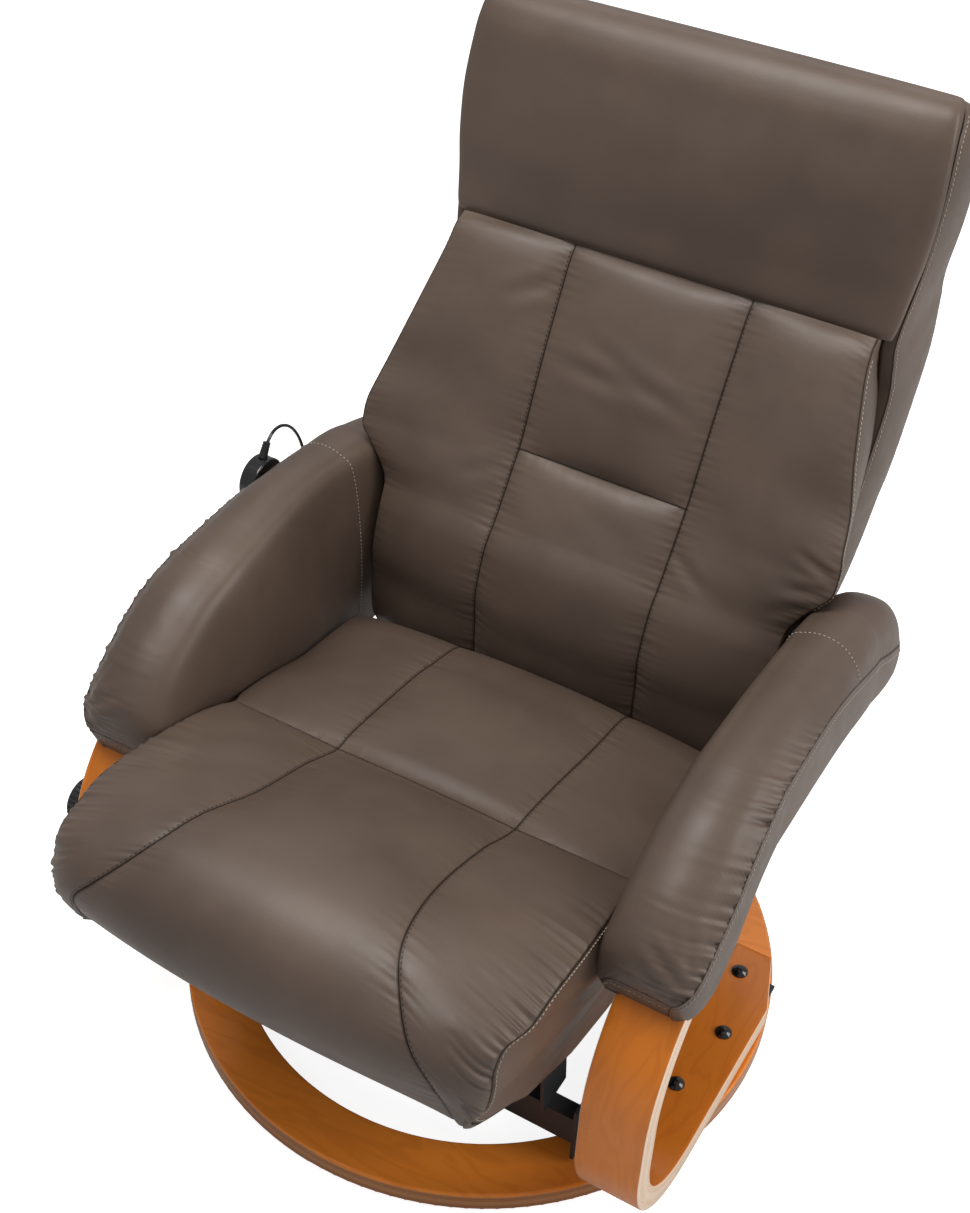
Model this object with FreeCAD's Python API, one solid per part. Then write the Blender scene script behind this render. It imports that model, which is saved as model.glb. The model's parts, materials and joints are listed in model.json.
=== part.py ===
import FreeCAD, Part
import math
import os

# Swivel recliner with vibration massage. Millimetres, +Z up, the sitter faces -Y, and the origin is
# where the swivel axis meets the floor.

V = FreeCAD.Vector
FIT = 0.05
SOFT_GAP = 0.3

# Base
GLIDE_HEIGHT = 3.0
GLIDE_RADIUS = 11.0
RING_OUTER = 350.0
RING_WIDTH = 65.0
RING_INNER = RING_OUTER - RING_WIDTH
RING_TOP = 30.0
RING_EDGE = 3.0
RING_MIDDLE = (RING_OUTER + RING_INNER) / 2
GLIDE_COUNT = 8
BEAM_ANGLE = 25.0
BEAM_WIDTH = 90.0
BEAM_STEEL = 5.0
BEAM_RIB_HEIGHT = 18.0
BEAM_END = RING_OUTER - 12.0
FOOT_SCREW_RADIUS = 2.5
FOOT_SCREW_HEAD = 5.0
FOOT_SCREW_LENGTH = 20.0
FOOT_SCREW_SPREAD = 24.0

# Swivel bearing, from the beam upwards
SPIGOT_RADIUS = 25.0
SPIGOT_WALL = 5.0
COLLAR_RADIUS = 36.0
COLLAR_HEIGHT = 8.0
WASHER_HEIGHT = 3.0
BUSH_WALL = 3.0
BUSH_FLANGE = 3.0
BUSH_LENGTH = 22.0
HUB_WALL = 6.0
RETAINER_HEIGHT = 5.0
RETAINER_RADIUS = 34.0
RETAINER_BOLT = 8.0
RETAINER_HEAD = 13.0
RETAINER_HEAD_HEIGHT = 9.0

# Swivelling steel frame
TUBE_DEPTH = 21.0
TUBE_HEIGHT = 42.0
TUBE_WALL = 2.0
TUBE_BOTTOM = 56.0
TUBE_TOP = TUBE_BOTTOM + TUBE_HEIGHT
FRONT_TUBE_Y = -211.0
REAR_TUBE_Y = 85.0
HUB_PLATE = 5.0
HUB_PLATE_HALF = 70.0
BRACKET_STEEL = 4.0
BRACKET_INNER = 236.0
BRACKET_TOP = 118.0
BRACKET_FRONT = -216.0
BRACKET_REAR = 112.0

# Bentwood side frames: corners of the outer face seen from the side, with the radius at each corner
WOOD_THICKNESS = 27.0
WOOD_INNER = 275.0
WOOD_WIDTH = 71.0
WOOD_OUTER = WOOD_INNER + WOOD_WIDTH
BRACKET_REACH = WOOD_OUTER - 12.0
WOOD_BOTTOM = 40.0
WOOD_FRONT = -298.0
WOOD_REAR_LOW = 126.0
WOOD_REAR_TOP = 292.0
ARM_TOP = 480.0
WOOD_CORNERS = [(WOOD_REAR_LOW, WOOD_BOTTOM), (WOOD_FRONT, WOOD_BOTTOM), (WOOD_FRONT, 340.0),
                (-106.0, ARM_TOP), (75.0, ARM_TOP), (WOOD_REAR_TOP, ARM_TOP - 47.0)]
WOOD_RADII = [0.0, 148.0, 188.0, 150.0, 400.0, 0.0]
WOOD_EDGE = 2.5
WOOD_CHAMFER_X = 26.0
WOOD_CHAMFER_Y = 74.0
BOLT_PLACES = [(WOOD_INNER + 0.296 * WOOD_WIDTH, 88.0), (WOOD_INNER + 0.577 * WOOD_WIDTH, -1.0),
               (WOOD_INNER + 0.352 * WOOD_WIDTH, -91.0)]
BOLT_RADIUS = 4.0
BOLT_HEAD_RADIUS = 7.0
BOLT_HEAD_HEIGHT = 3.5
CAP_RADIUS = 9.5
CAP_HEIGHT = 6.5
CAP_WALL = 1.2

# Arm pads: one row for each cross-section from front to rear, with the place on the wood's top face, the
# lean of the section, the height of the outer seam, the depth of the inner panel and the inset of an end
ARM_SECTIONS = [
    (-238.0, 21.0, 44.0, 5.0, 9.0), (-228.0, 20.0, 58.0, 26.0, 1.0), (-190.0, 17.0, 66.0, 75.0, 0.0),
    (-150.0, 13.0, 63.0, 105.0, 0.0), (-105.0, 8.0, 55.0, 130.0, 0.0), (-50.0, 3.0, 57.0, 165.0, 0.0),
    (20.0, 0.0, 64.0, 185.0, 0.0), (95.0, 0.0, 66.0, 185.0, 0.0), (160.0, 0.0, 71.0, 168.0, 0.0),
    (196.0, 0.0, 69.0, 150.0, 1.0), (206.0, 0.0, 68.0, 10.0, 1.0), (255.0, 0.0, 62.0, 8.0, 0.0),
    (285.0, 0.0, 50.0, 6.0, 2.0), (298.0, 0.0, 30.0, 3.0, 9.0)]
ARM_OUTER = WOOD_OUTER - 1.0
ARM_BULGE = 7.0
ARM_SEAM = WOOD_OUTER + 1.0
ARM_INNER = WOOD_INNER - 13.0
ARM_CREST = (ARM_INNER + ARM_SEAM) / 2 + 0.5
ARM_CROWN = 23.0
ARM_INNER_DROP = 10.0
ARM_INNER_BULGE = 5.5
ARM_BOARD_X = (WOOD_INNER + 11.0, WOOD_OUTER - 12.0)
ARM_BOARD = 12.0
ARM_BOARD_Y = (-150.0, 250.0)
ARM_SCREW_Y = (-30.0, 60.0)
ARM_SCREW_RADIUS = 3.0
ARM_SCREW_HEAD = 6.5

# Recline hinge and the open lower pivot
HINGE_Y = 228.0
HINGE_Z = 396.0
HINGE_PIN = 6.0
HINGE_BUSH = 8.0
HINGE_LUG = 17.0
HINGE_PLATE_X = (270.0, 274.5)
SIDE_PLATE_X = (250.5, 254.5)
LINK_Y = 222.0
LINK_Z = 290.0
LINK_PIN = 5.0
LINK_HOLE = 8.0
LINK_EAR = 20.0
BOSS_RADIUS = 8.0
BOSS_PLACES = [(262.0, 412.0), (295.0, 490.0)]

# Seat slide: a line through the front pin, rising towards the front
SLIDE_ANGLE = 15.0
SLIDE_TRAVEL = 48.0
PIN_FRONT_Y = -226.0
PIN_FRONT_Z = 250.0
PIN_REAR_Y = 95.0
RAIL_X = (198.0, 202.0)
SLIDER_X = (202.4, 206.4)
RAIL_HALF = 18.0
PIN_RADIUS = 6.0
SLOT_PLAY = 0.15
SEAT_TUBE = 25.0
SEAT_TUBE_LOW = 20.0
SEAT_FRAME_Y = (-330.0, 92.0)
SEAT_FRAME_INNER = 200.0
CAVITY_LIFT = 50.0
CAVITY_X = 232.0
CAVITY_Y = (-338.0, 100.0)

# Lock knob
KNOB_RADIUS = 27.0
KNOB_X = (WOOD_OUTER + 28.0, WOOD_OUTER + 52.0)
KNOB_RIB = 1.6
KNOB_RIBS = 28
SLEEVE_RADIUS = 9.0
STUD_RADIUS = 5.0

# Seat cushion: side profile of the sewn line
SEAT_REAR_Y = 118.0
SEAT_REAR_LOW = 186.0
SEAT_REAR_TOP = 338.0
SEAT_SEAM_Y = -140.0
SEAT_SEAM_Z = 410.0
SEAT_CREST_Y = -376.0
SEAT_CREST_Z = 493.0
SEAT_FRONT_Y = -458.0
SEAT_FRONT_Z = 430.0
SEAT_LIP_Y = -418.0
SEAT_LIP_Z = 348.0
SEAT_UNDER_Y = -346.0
SEAT_UNDER_Z = 314.0
SEAT_SIDE_Y = -161.0
SEAT_SIDE_Z = 245.0
SEAT_HALF = 252.0
SEAT_SEAM_X = 106.0
SEAT_PUFF = 13.0

# Backrest: front edge of the shell from the bottom up, its rear edge, and its half width
SHELL = [((208.0, 354.0), (284.0, 352.0), 226.0), ((202.0, 368.0), (300.0, 362.0), 243.0),
         ((205.0, 420.0), (318.0, 425.0), 246.5), ((228.0, 460.0), (338.0, 470.0), 246.5),
         ((262.0, 515.0), (358.0, 520.0), 246.5), ((290.0, 560.0), (375.0, 565.0), 248.0),
         ((304.0, 595.0), (394.0, 592.0), 256.0), ((326.0, 650.0), (430.0, 650.0), 260.0),
         ((345.0, 705.0), (462.0, 712.0), 260.0), ((341.0, 745.0), (474.0, 760.0), 257.0),
         ((340.0, 780.0), (478.0, 800.0), 256.0), ((362.0, 853.0), (482.0, 860.0), 264.0),
         ((372.0, 916.0), (482.0, 925.0), 268.0), ((384.0, 971.0), (472.0, 962.0), 266.0),
         ((402.0, 992.0), (458.0, 982.0), 262.0), ((414.0, 999.0), (444.0, 996.0), 257.0),
         ((424.0, 1001.0), (434.0, 1003.0), 252.0)]
SHELL_SIDE_BULGE = 3.0
SHELL_REAR_BULGE = 12.0
SHELL_FULL_DEPTH = 110.0
SHELL_WALL = 14.0
SHELL_REAR_WALL = 18.0
# Front cushion: place of the sewn line, height of the shell's edge behind it, half width, the fullness of
# the middle and side columns, and how far the outer edge stands forward of the sewn line
BACK_SECTIONS = [
    ((142.0, 330.0), 354.0, 232.0, 3.0, 3.0, -4.0), ((137.0, 342.0), 368.0, 246.0, 14.0, 9.0, -12.0),
    ((136.0, 428.0), 420.0, 250.0, 16.0, 11.0, -12.0), ((152.0, 478.0), 460.0, 250.0, 16.0, 11.0, -12.0),
    ((192.0, 532.0), 500.0, 252.0, 14.0, 12.0, -6.0), ((203.0, 548.0), 515.0, 271.0, 12.0, 11.0, 12.0),
    ((213.0, 563.0), 533.0, 294.0, 7.0, 10.0, 22.0), ((222.0, 576.0), 543.0, 299.0, 0.6, 10.0, 26.0),
    ((231.0, 592.0), 560.0, 298.0, 9.0, 10.0, 24.0), ((246.0, 626.0), 595.0, 290.0, 16.0, 11.0, 12.0),
    ((270.0, 676.0), 650.0, 274.0, 17.0, 12.0, 11.0), ((303.0, 738.0), 705.0, 254.0, 15.0, 12.0, 7.0),
    ((318.0, 764.0), 745.0, 245.0, 11.0, 9.0, 0.0), ((329.0, 779.0), 774.0, 240.0, 3.0, 3.0, -2.0)]
BACK_SEAM_X = 105.0
# Headrest pad: place of its side seam, half width and crown, over the shell's upper rows
HEAD_SECTIONS = [((331.0, 781.0), 254.0, 3.0), ((340.0, 825.0), 260.0, 12.0), ((347.0, 866.0), 265.0, 17.0),
                 ((358.0, 916.0), 268.0, 19.0), ((373.0, 969.0), 265.0, 17.0), ((385.0, 1000.0), 262.0, 11.0),
                 ((399.0, 1014.0), 258.0, 6.0), ((418.0, 1013.0), 254.0, 3.0)]
HEAD_SEAM = [(340.0, 780.0), (353.7, 825.6), (364.1, 866.0), (372.0, 916.0), (384.0, 971.0), (402.0, 992.0),
             (414.0, 999.0), (424.0, 1001.0)]
BOARD_GAP = 0.5
BOARD = 9.0
BACK_TUBE = 11.0
BACK_TUBE_X = 212.0
BACK_TUBE_PATH = [(250.0, 384.0), (304.0, 512.0), (376.0, 660.0), (402.0, 770.0), (438.0, 940.0)]
BACK_TUBE_BEND = 160.0
BACK_BAR_HEIGHTS = (403.0, 493.0, 700.0, 925.0)

# Vibration motors
MOTOR_RADIUS = 22.0
MOTOR_DEPTH = 20.0
MOTOR_X = 112.0
SEAT_MOTOR_Y = (-250.0, -30.0)
BACK_MOTOR_FACETS = (SHELL[4:6], SHELL[7:9])

# Control box
BOX_X = (-60.0, 60.0)
BOX_Y = (42.0, 104.0)
BOX_HEIGHT = 36.0
BOX_WALL = 2.5
LID = 3.0
GLAND_Y = 66.0
GLAND_RADIUS = 7.0
GLAND_LENGTH = 14.0
INLET_X = 24.0
INLET_RADIUS = 6.0
INLET_BORE = 2.75

# Handset and its pocket on the outer side of the arm on the -X side
HANDSET_Y = (66.0, 124.0)
HANDSET_Z = (390.0, 534.0)
POCKET_BACK_X = -(ARM_OUTER + ARM_BULGE + 1.6)
HANDSET_X = (POCKET_BACK_X - 24.4, POCKET_BACK_X - 2.9)
HANDSET_SPLIT = HANDSET_X[1] - 10.5
HANDSET_WALL = 2.0
HANDSET_TOP_ROUND = 28.0
HANDSET_LOW_ROUND = 14.0
HANDSET_EDGE = 3.0
BUTTON_RADIUS = 5.0
BUTTON_HOLE = 5.4
BUTTON_PROUD = 1.3
BUTTON_TRAVEL = 0.8
BUTTON_PLACES = {"button_power": (95.0, 513.0), "button_mode": (83.0, 493.0), "button_time": (107.0, 493.0),
                 "button_back": (83.0, 472.0), "button_seat": (107.0, 472.0)}
RELIEF_LEAN = 31.0
RELIEF_BASE = 5.2
RELIEF_TIP = 4.4
RELIEF_LENGTH = 19.0
RELIEF_RINGS = 6
POCKET_WALL = 2.0
POCKET_Y = (63.0, 127.0)
POCKET_Z = (387.0, 448.0)
POCKET_BACK_TOP = 480.0
POCKET_X = (HANDSET_X[0] - 3.0, POCKET_BACK_X)
POCKET_BLOCK_Y = (75.0, 115.0)
POCKET_BLOCK_Z = (457.0, 475.0)
POCKET_SCREW_Y = (83.0, 107.0)
POCKET_SCREW_Z = 466.0
POCKET_SCREW_RADIUS = 2.0
POCKET_SCREW_LENGTH = 22.0

# Handset cord
CORD_RADIUS = 2.0
CORD_CLEARANCE = 0.25


def box(x, y, z):
    """Box between two values along each axis, given in either order."""
    low = [min(pair) for pair in (x, y, z)]
    size = [abs(pair[1] - pair[0]) for pair in (x, y, z)]
    return Part.makeBox(size[0], size[1], size[2], V(*low))


def rod(start, along, radius, length):
    return Part.makeCylinder(radius, length, V(*start), V(*along))


def hollow_rod(start, along, outer, inner, length):
    return rod(start, along, outer, length).cut(rod(start, along, inner, length))


def mirrored(shape):
    return shape.mirror(V(0, 0, 0), V(1, 0, 0))


def side_face(points, x):
    """Flat face in the plane of one x through points (y, z)."""
    loop = [V(x, y, z) for y, z in points]
    return Part.Face(Part.makePolygon(loop + [loop[0]]))


def side_prism(points, x):
    """Prism between two values of x on an outline of points (y, z)."""
    low, high = min(x), max(x)
    return side_face(points, low).extrude(V(high - low, 0, 0))


def save(name, shape):
    os.makedirs("parts", exist_ok=True)
    shape.exportStep("parts/" + name + ".step")
    print(name, "solids", len(shape.Solids), "volume", round(shape.Volume), "valid", shape.isValid())


def group(shapes):
    return Part.makeCompound(shapes)


def unit(y, z):
    length = math.hypot(y, z)
    return y / length, z / length


def offset_corners(corners, radii, distance):
    """Corners and radii of a line moved to the right of its way by a distance."""
    lines = []
    for start, end in zip(corners[:-1], corners[1:]):
        along = unit(end[0] - start[0], end[1] - start[1])
        shift = (along[1] * distance, -along[0] * distance)
        lines.append((start[0] + shift[0], start[1] + shift[1], along))
    moved = [(lines[0][0], lines[0][1])]
    for first, second in zip(lines[:-1], lines[1:]):
        cross = first[2][0] * second[2][1] - first[2][1] * second[2][0]
        gap = (second[0] - first[0], second[1] - first[1])
        reach = (gap[0] * second[2][1] - gap[1] * second[2][0]) / cross
        moved.append((first[0] + first[2][0] * reach, first[1] + first[2][1] * reach))
    last = corners[-1]
    along = lines[-1][2]
    moved.append((last[0] + along[1] * distance, last[1] - along[0] * distance))
    turns = []
    for index, radius in enumerate(radii):
        turns.append(radius - distance if 0 < index < len(radii) - 1 else 0.0)
    return moved, turns


def rounded_pieces(corners, radii):
    """Straight runs and tangent arcs through corners, as (start, middle, end), middle None on a run."""
    pieces = []
    here = corners[0]
    for index in range(1, len(corners) - 1):
        before = unit(corners[index - 1][0] - corners[index][0], corners[index - 1][1] - corners[index][1])
        after = unit(corners[index + 1][0] - corners[index][0], corners[index + 1][1] - corners[index][1])
        half = math.acos(max(-1.0, min(1.0, before[0] * after[0] + before[1] * after[1]))) / 2
        reach = radii[index] / math.tan(half)
        start = (corners[index][0] + before[0] * reach, corners[index][1] + before[1] * reach)
        end = (corners[index][0] + after[0] * reach, corners[index][1] + after[1] * reach)
        inward = unit(before[0] + after[0], before[1] + after[1])
        depth = radii[index] / math.sin(half) - radii[index]
        middle = (corners[index][0] + inward[0] * depth, corners[index][1] + inward[1] * depth)
        pieces.append((here, None, start))
        pieces.append((start, middle, end))
        here = end
    pieces.append((here, None, corners[-1]))
    return pieces


def edges_in_side_plane(pieces, x):
    edges = []
    for start, middle, end in pieces:
        first, last = V(x, start[0], start[1]), V(x, end[0], end[1])
        if middle is None:
            edges.append(Part.LineSegment(first, last).toShape())
        else:
            edges.append(Part.Arc(first, V(x, middle[0], middle[1]), last).toShape())
    return edges


def strip(near, far, x):
    """Bent strip between two offsets from the outer face of the wood, over a span of x."""
    low, high = min(x), max(x)
    first = rounded_pieces(*offset_corners(WOOD_CORNERS, WOOD_RADII, near))
    second = rounded_pieces(*offset_corners(WOOD_CORNERS, WOOD_RADII, far))
    edges = edges_in_side_plane(first, low) + edges_in_side_plane(second, low)
    for end in (0, -1):
        place = 0 if end == 0 else 2
        a, b = first[end][place], second[end][place]
        edges.append(Part.LineSegment(V(low, a[0], a[1]), V(low, b[0], b[1])).toShape())
    wire = Part.Wire(Part.__sortEdges__(edges))
    return Part.Face(wire).extrude(V(high - low, 0, 0))


def wood_top(y):
    """Height of the wood's top face under the arm pad at one y, from the runs and arcs of its outline."""
    for start, middle, end in rounded_pieces(WOOD_CORNERS, WOOD_RADII)[3:]:
        if min(start[0], end[0]) - 1e-6 <= y <= max(start[0], end[0]) + 1e-6:
            if middle is None:
                share = (y - start[0]) / (end[0] - start[0])
                return start[1] + share * (end[1] - start[1])
            arc = bow(V(start[0], start[1], 0), V(middle[0], middle[1], 0), V(end[0], end[1], 0)).Curve
            centre, radius = arc.Center, arc.Radius
            return centre.y + math.sqrt(radius ** 2 - (y - centre.x) ** 2)
    return WOOD_CORNERS[-1][1]


def line(a, b):
    return Part.LineSegment(a, b).toShape()


def bow(a, middle, b):
    return Part.Arc(a, middle, b).toShape()


def slide_point(y, lift):
    """Point (y, z) at a height over the seat's slide line, measured square to it."""
    slope = math.radians(SLIDE_ANGLE)
    z = PIN_FRONT_Z - (y - PIN_FRONT_Y) * math.tan(slope)
    return y + lift * math.sin(slope), z + lift * math.cos(slope)


def make_base_ring():
    height = RING_TOP - GLIDE_HEIGHT
    start = (0, 0, GLIDE_HEIGHT)
    ring = hollow_rod(start, (0, 0, 1), RING_OUTER, RING_INNER, height)
    ring = ring.makeFillet(RING_EDGE, [e for e in ring.Edges if e.BoundBox.ZLength < 0.01])
    rebate = box((-RING_OUTER, RING_OUTER), (-BEAM_WIDTH / 2 - FIT, BEAM_WIDTH / 2 + FIT),
                 (0, GLIDE_HEIGHT + BEAM_STEEL + FIT))
    rebate = rebate.common(rod((0, 0, 0), (0, 0, 1), BEAM_END + FIT, RING_TOP))
    rebate.rotate(V(0, 0, 0), V(0, 0, 1), BEAM_ANGLE)
    ring = ring.cut(rebate)
    for place in foot_screw_places():
        ring = ring.cut(rod((place[0], place[1], 0), (0, 0, 1), FOOT_SCREW_RADIUS,
                            GLIDE_HEIGHT + FOOT_SCREW_LENGTH))
    return ring


def foot_screw_places():
    places = []
    for side in (-1, 1):
        for spread in (-FOOT_SCREW_SPREAD, FOOT_SCREW_SPREAD):
            point = V(side * RING_MIDDLE, spread, 0)
            turned = FreeCAD.Rotation(V(0, 0, 1), BEAM_ANGLE).multVec(point)
            places.append((turned.x, turned.y))
    return places


def make_foot_beam():
    top = GLIDE_HEIGHT + BEAM_STEEL
    web = box((-BEAM_END, BEAM_END), (-BEAM_WIDTH / 2, BEAM_WIDTH / 2), (GLIDE_HEIGHT, top))
    web = web.common(rod((0, 0, 0), (0, 0, 1), BEAM_END, RING_TOP))
    rib_end = RING_INNER - 6.0
    shape = web
    for side in (-1, 1):
        edge = side * BEAM_WIDTH / 2
        rib = box((-rib_end, rib_end), (edge, edge - side * BEAM_STEEL), (top, top + BEAM_RIB_HEIGHT))
        clear = rod((0, 0, GLIDE_HEIGHT), (0, 0, 1), COLLAR_RADIUS + 12.0, RING_TOP)
        shape = shape.fuse(rib.cut(clear))
    shape.rotate(V(0, 0, 0), V(0, 0, 1), BEAM_ANGLE)
    for place in foot_screw_places():
        hole = rod((place[0], place[1], 0), (0, 0, 1), FOOT_SCREW_RADIUS + FIT, RING_TOP)
        seat = V(place[0], place[1], GLIDE_HEIGHT)
        sink = Part.makeCone(FOOT_SCREW_HEAD + FIT, FOOT_SCREW_RADIUS + FIT, 2.5, seat)
        shape = shape.cut(hole).cut(sink)
    return shape


def make_foot_screws():
    screws = []
    for place in foot_screw_places():
        head = Part.makeCone(FOOT_SCREW_HEAD, FOOT_SCREW_RADIUS, 2.5, V(place[0], place[1], GLIDE_HEIGHT))
        shank = rod((place[0], place[1], GLIDE_HEIGHT + 2.5), (0, 0, 1), FOOT_SCREW_RADIUS,
                    FOOT_SCREW_LENGTH - 2.5)
        screws.append(head.fuse(shank))
    return group(screws)


def make_floor_glides():
    glides = []
    for index in range(GLIDE_COUNT):
        angle = math.radians(BEAM_ANGLE + 360.0 * (index + 0.5) / GLIDE_COUNT)
        place = (RING_MIDDLE * math.cos(angle), RING_MIDDLE * math.sin(angle), 0)
        glide = rod(place, (0, 0, 1), GLIDE_RADIUS, GLIDE_HEIGHT)
        glides.append(glide.makeChamfer(0.8, [e for e in glide.Edges if abs(e.BoundBox.ZMax) < 0.01]))
    return group(glides)


SPIGOT_BOTTOM = GLIDE_HEIGHT + BEAM_STEEL
WASHER_BOTTOM = SPIGOT_BOTTOM + COLLAR_HEIGHT
BUSH_BOTTOM = WASHER_BOTTOM + WASHER_HEIGHT
HUB_BOTTOM = BUSH_BOTTOM + BUSH_FLANGE
HUB_TOP = TUBE_TOP + HUB_PLATE
SPIGOT_TOP = HUB_TOP + BUSH_FLANGE + FIT
BUSH_INNER = SPIGOT_RADIUS + FIT
BUSH_OUTER = BUSH_INNER + BUSH_WALL
HUB_INNER = BUSH_OUTER
HUB_OUTER = HUB_INNER + HUB_WALL


def make_swivel_spigot():
    shape = hollow_rod((0, 0, SPIGOT_BOTTOM), (0, 0, 1), SPIGOT_RADIUS, SPIGOT_RADIUS - SPIGOT_WALL,
                       SPIGOT_TOP - SPIGOT_BOTTOM)
    collar = hollow_rod((0, 0, SPIGOT_BOTTOM), (0, 0, 1), COLLAR_RADIUS, SPIGOT_RADIUS, COLLAR_HEIGHT)
    plug = hollow_rod((0, 0, SPIGOT_TOP - 16.0), (0, 0, 1), SPIGOT_RADIUS - SPIGOT_WALL, RETAINER_BOLT, 16.0)
    return shape.fuse(collar).fuse(plug).removeSplitter()


def make_thrust_washer():
    return hollow_rod((0, 0, WASHER_BOTTOM), (0, 0, 1), COLLAR_RADIUS - 1.0, BUSH_INNER, WASHER_HEIGHT)


def make_swivel_retainer():
    washer = hollow_rod((0, 0, SPIGOT_TOP), (0, 0, 1), RETAINER_RADIUS, RETAINER_BOLT, RETAINER_HEIGHT)
    top = SPIGOT_TOP + RETAINER_HEIGHT
    shank = rod((0, 0, SPIGOT_TOP - 16.0), (0, 0, 1), RETAINER_BOLT, 16.0 + RETAINER_HEIGHT)
    head = rod((0, 0, top), (0, 0, 1), RETAINER_HEAD, RETAINER_HEAD_HEIGHT)
    rim = [e for e in head.Edges if e.BoundBox.ZMin > top + 1.0 and e.BoundBox.ZLength < 0.01]
    head = head.makeChamfer(1.5, rim)
    return group([washer, shank.fuse(head)])


def make_swivel_bushes():
    low = hollow_rod((0, 0, HUB_BOTTOM), (0, 0, 1), BUSH_OUTER, BUSH_INNER, BUSH_LENGTH)
    low = low.fuse(hollow_rod((0, 0, BUSH_BOTTOM), (0, 0, 1), HUB_OUTER, BUSH_INNER, BUSH_FLANGE))
    high = hollow_rod((0, 0, HUB_TOP - BUSH_LENGTH), (0, 0, 1), BUSH_OUTER, BUSH_INNER, BUSH_LENGTH)
    high = high.fuse(hollow_rod((0, 0, HUB_TOP), (0, 0, 1), HUB_OUTER, BUSH_INNER, BUSH_FLANGE))
    return group([low.removeSplitter(), high.removeSplitter()])


def make_swivel_hub():
    tube = hollow_rod((0, 0, HUB_BOTTOM), (0, 0, 1), HUB_OUTER, HUB_INNER, HUB_TOP - HUB_BOTTOM)
    reach = (FRONT_TUBE_Y, REAR_TUBE_Y + TUBE_DEPTH)
    plate = box((-HUB_PLATE_HALF, HUB_PLATE_HALF), reach, (TUBE_TOP, HUB_TOP))
    plate = plate.cut(rod((0, 0, TUBE_TOP), (0, 0, 1), HUB_INNER, HUB_PLATE))
    shape = plate.fuse(tube)
    for side in (-1, 1):
        edge = side * HUB_PLATE_HALF
        rib = box((edge, edge - side * BRACKET_STEEL), (FRONT_TUBE_Y + TUBE_DEPTH, REAR_TUBE_Y),
                  (TUBE_BOTTOM, TUBE_TOP))
        shape = shape.fuse(rib)
    return shape.removeSplitter()


def make_cross_tube(front):
    span = (-BRACKET_INNER, BRACKET_INNER)
    rear = front + TUBE_DEPTH
    shape = box(span, (front, rear), (TUBE_BOTTOM, TUBE_TOP))
    inside = box(span, (front + TUBE_WALL, rear - TUBE_WALL), (TUBE_BOTTOM + TUBE_WALL, TUBE_TOP - TUBE_WALL))
    shape = shape.cut(inside)
    return shape


def make_side_bracket():
    """Folded steel bracket on the +X side: a standing flange and a flange under the wood."""
    low = WOOD_BOTTOM - BRACKET_STEEL
    wall = (BRACKET_INNER, BRACKET_INNER + BRACKET_STEEL)
    flange = box(wall, (BRACKET_FRONT, BRACKET_REAR), (low, BRACKET_TOP))
    foot = box((BRACKET_INNER, BRACKET_REACH), (BRACKET_FRONT + 30.0, BRACKET_REAR), (low, WOOD_BOTTOM))
    shape = flange.fuse(foot).removeSplitter()
    for x, y in BOLT_PLACES:
        shape = shape.cut(rod((x, y, low), (0, 0, 1), BOLT_RADIUS, BRACKET_STEEL))
    return shape


def make_side_frame():
    """Bent plywood band on the +X side, with a chamfered outer corner where its lower run ends."""
    band = strip(0.0, WOOD_THICKNESS, (WOOD_INNER, WOOD_OUTER))
    long_edges = [e for e in band.Edges if e.BoundBox.XLength < 0.01 and e.Length > 40.0]
    band = band.makeFillet(WOOD_EDGE, long_edges)
    corner = [V(WOOD_OUTER + 1, WOOD_REAR_LOW - WOOD_CHAMFER_Y, 0), V(WOOD_OUTER + 1, WOOD_REAR_LOW + 1, 0),
              V(WOOD_OUTER - WOOD_CHAMFER_X, WOOD_REAR_LOW + 1, 0)]
    wedge = Part.Face(Part.makePolygon(corner + [corner[0]])).extrude(V(0, 0, WOOD_BOTTOM + 2 * WOOD_THICKNESS))
    band = band.cut(wedge)
    for x, y in BOLT_PLACES:
        band = band.cut(rod((x, y, WOOD_BOTTOM), (0, 0, 1), BOLT_RADIUS, WOOD_THICKNESS))
    return band


def make_frame_bolts():
    top = WOOD_BOTTOM + WOOD_THICKNESS
    bolts = []
    for side in (-1, 1):
        for x, y in BOLT_PLACES:
            shank = rod((side * x, y, WOOD_BOTTOM - BRACKET_STEEL), (0, 0, 1), BOLT_RADIUS,
                        WOOD_THICKNESS + BRACKET_STEEL)
            head = rod((side * x, y, top), (0, 0, 1), BOLT_HEAD_RADIUS, BOLT_HEAD_HEIGHT)
            bolts.append(shank.fuse(head))
    return group(bolts)


def make_bolt_caps():
    """Domed caps over the bolt heads, each a turned shell."""
    top = WOOD_BOTTOM + WOOD_THICKNESS
    caps = []
    for side in (-1, 1):
        for x, y in BOLT_PLACES:
            shell = dome(V(side * x, y, top), CAP_RADIUS, CAP_HEIGHT)
            room = rod((side * x, y, top), (0, 0, 1), BOLT_HEAD_RADIUS + FIT, BOLT_HEAD_HEIGHT + FIT)
            caps.append(shell.cut(room))
    return group(caps)


def dome(place, radius, height):
    """Low dome: the cap of a ball, standing on a short rim."""
    rim = 1.5
    rise = height - rim
    ball = (radius ** 2 + rise ** 2) / (2 * rise)
    centre = place + V(0, 0, rim + rise - ball)
    cap = Part.makeSphere(ball, centre).common(rod((place.x, place.y, place.z + rim), (0, 0, 1), radius, rise))
    return cap.fuse(rod((place.x, place.y, place.z), (0, 0, 1), radius, rim)).removeSplitter()


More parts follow.
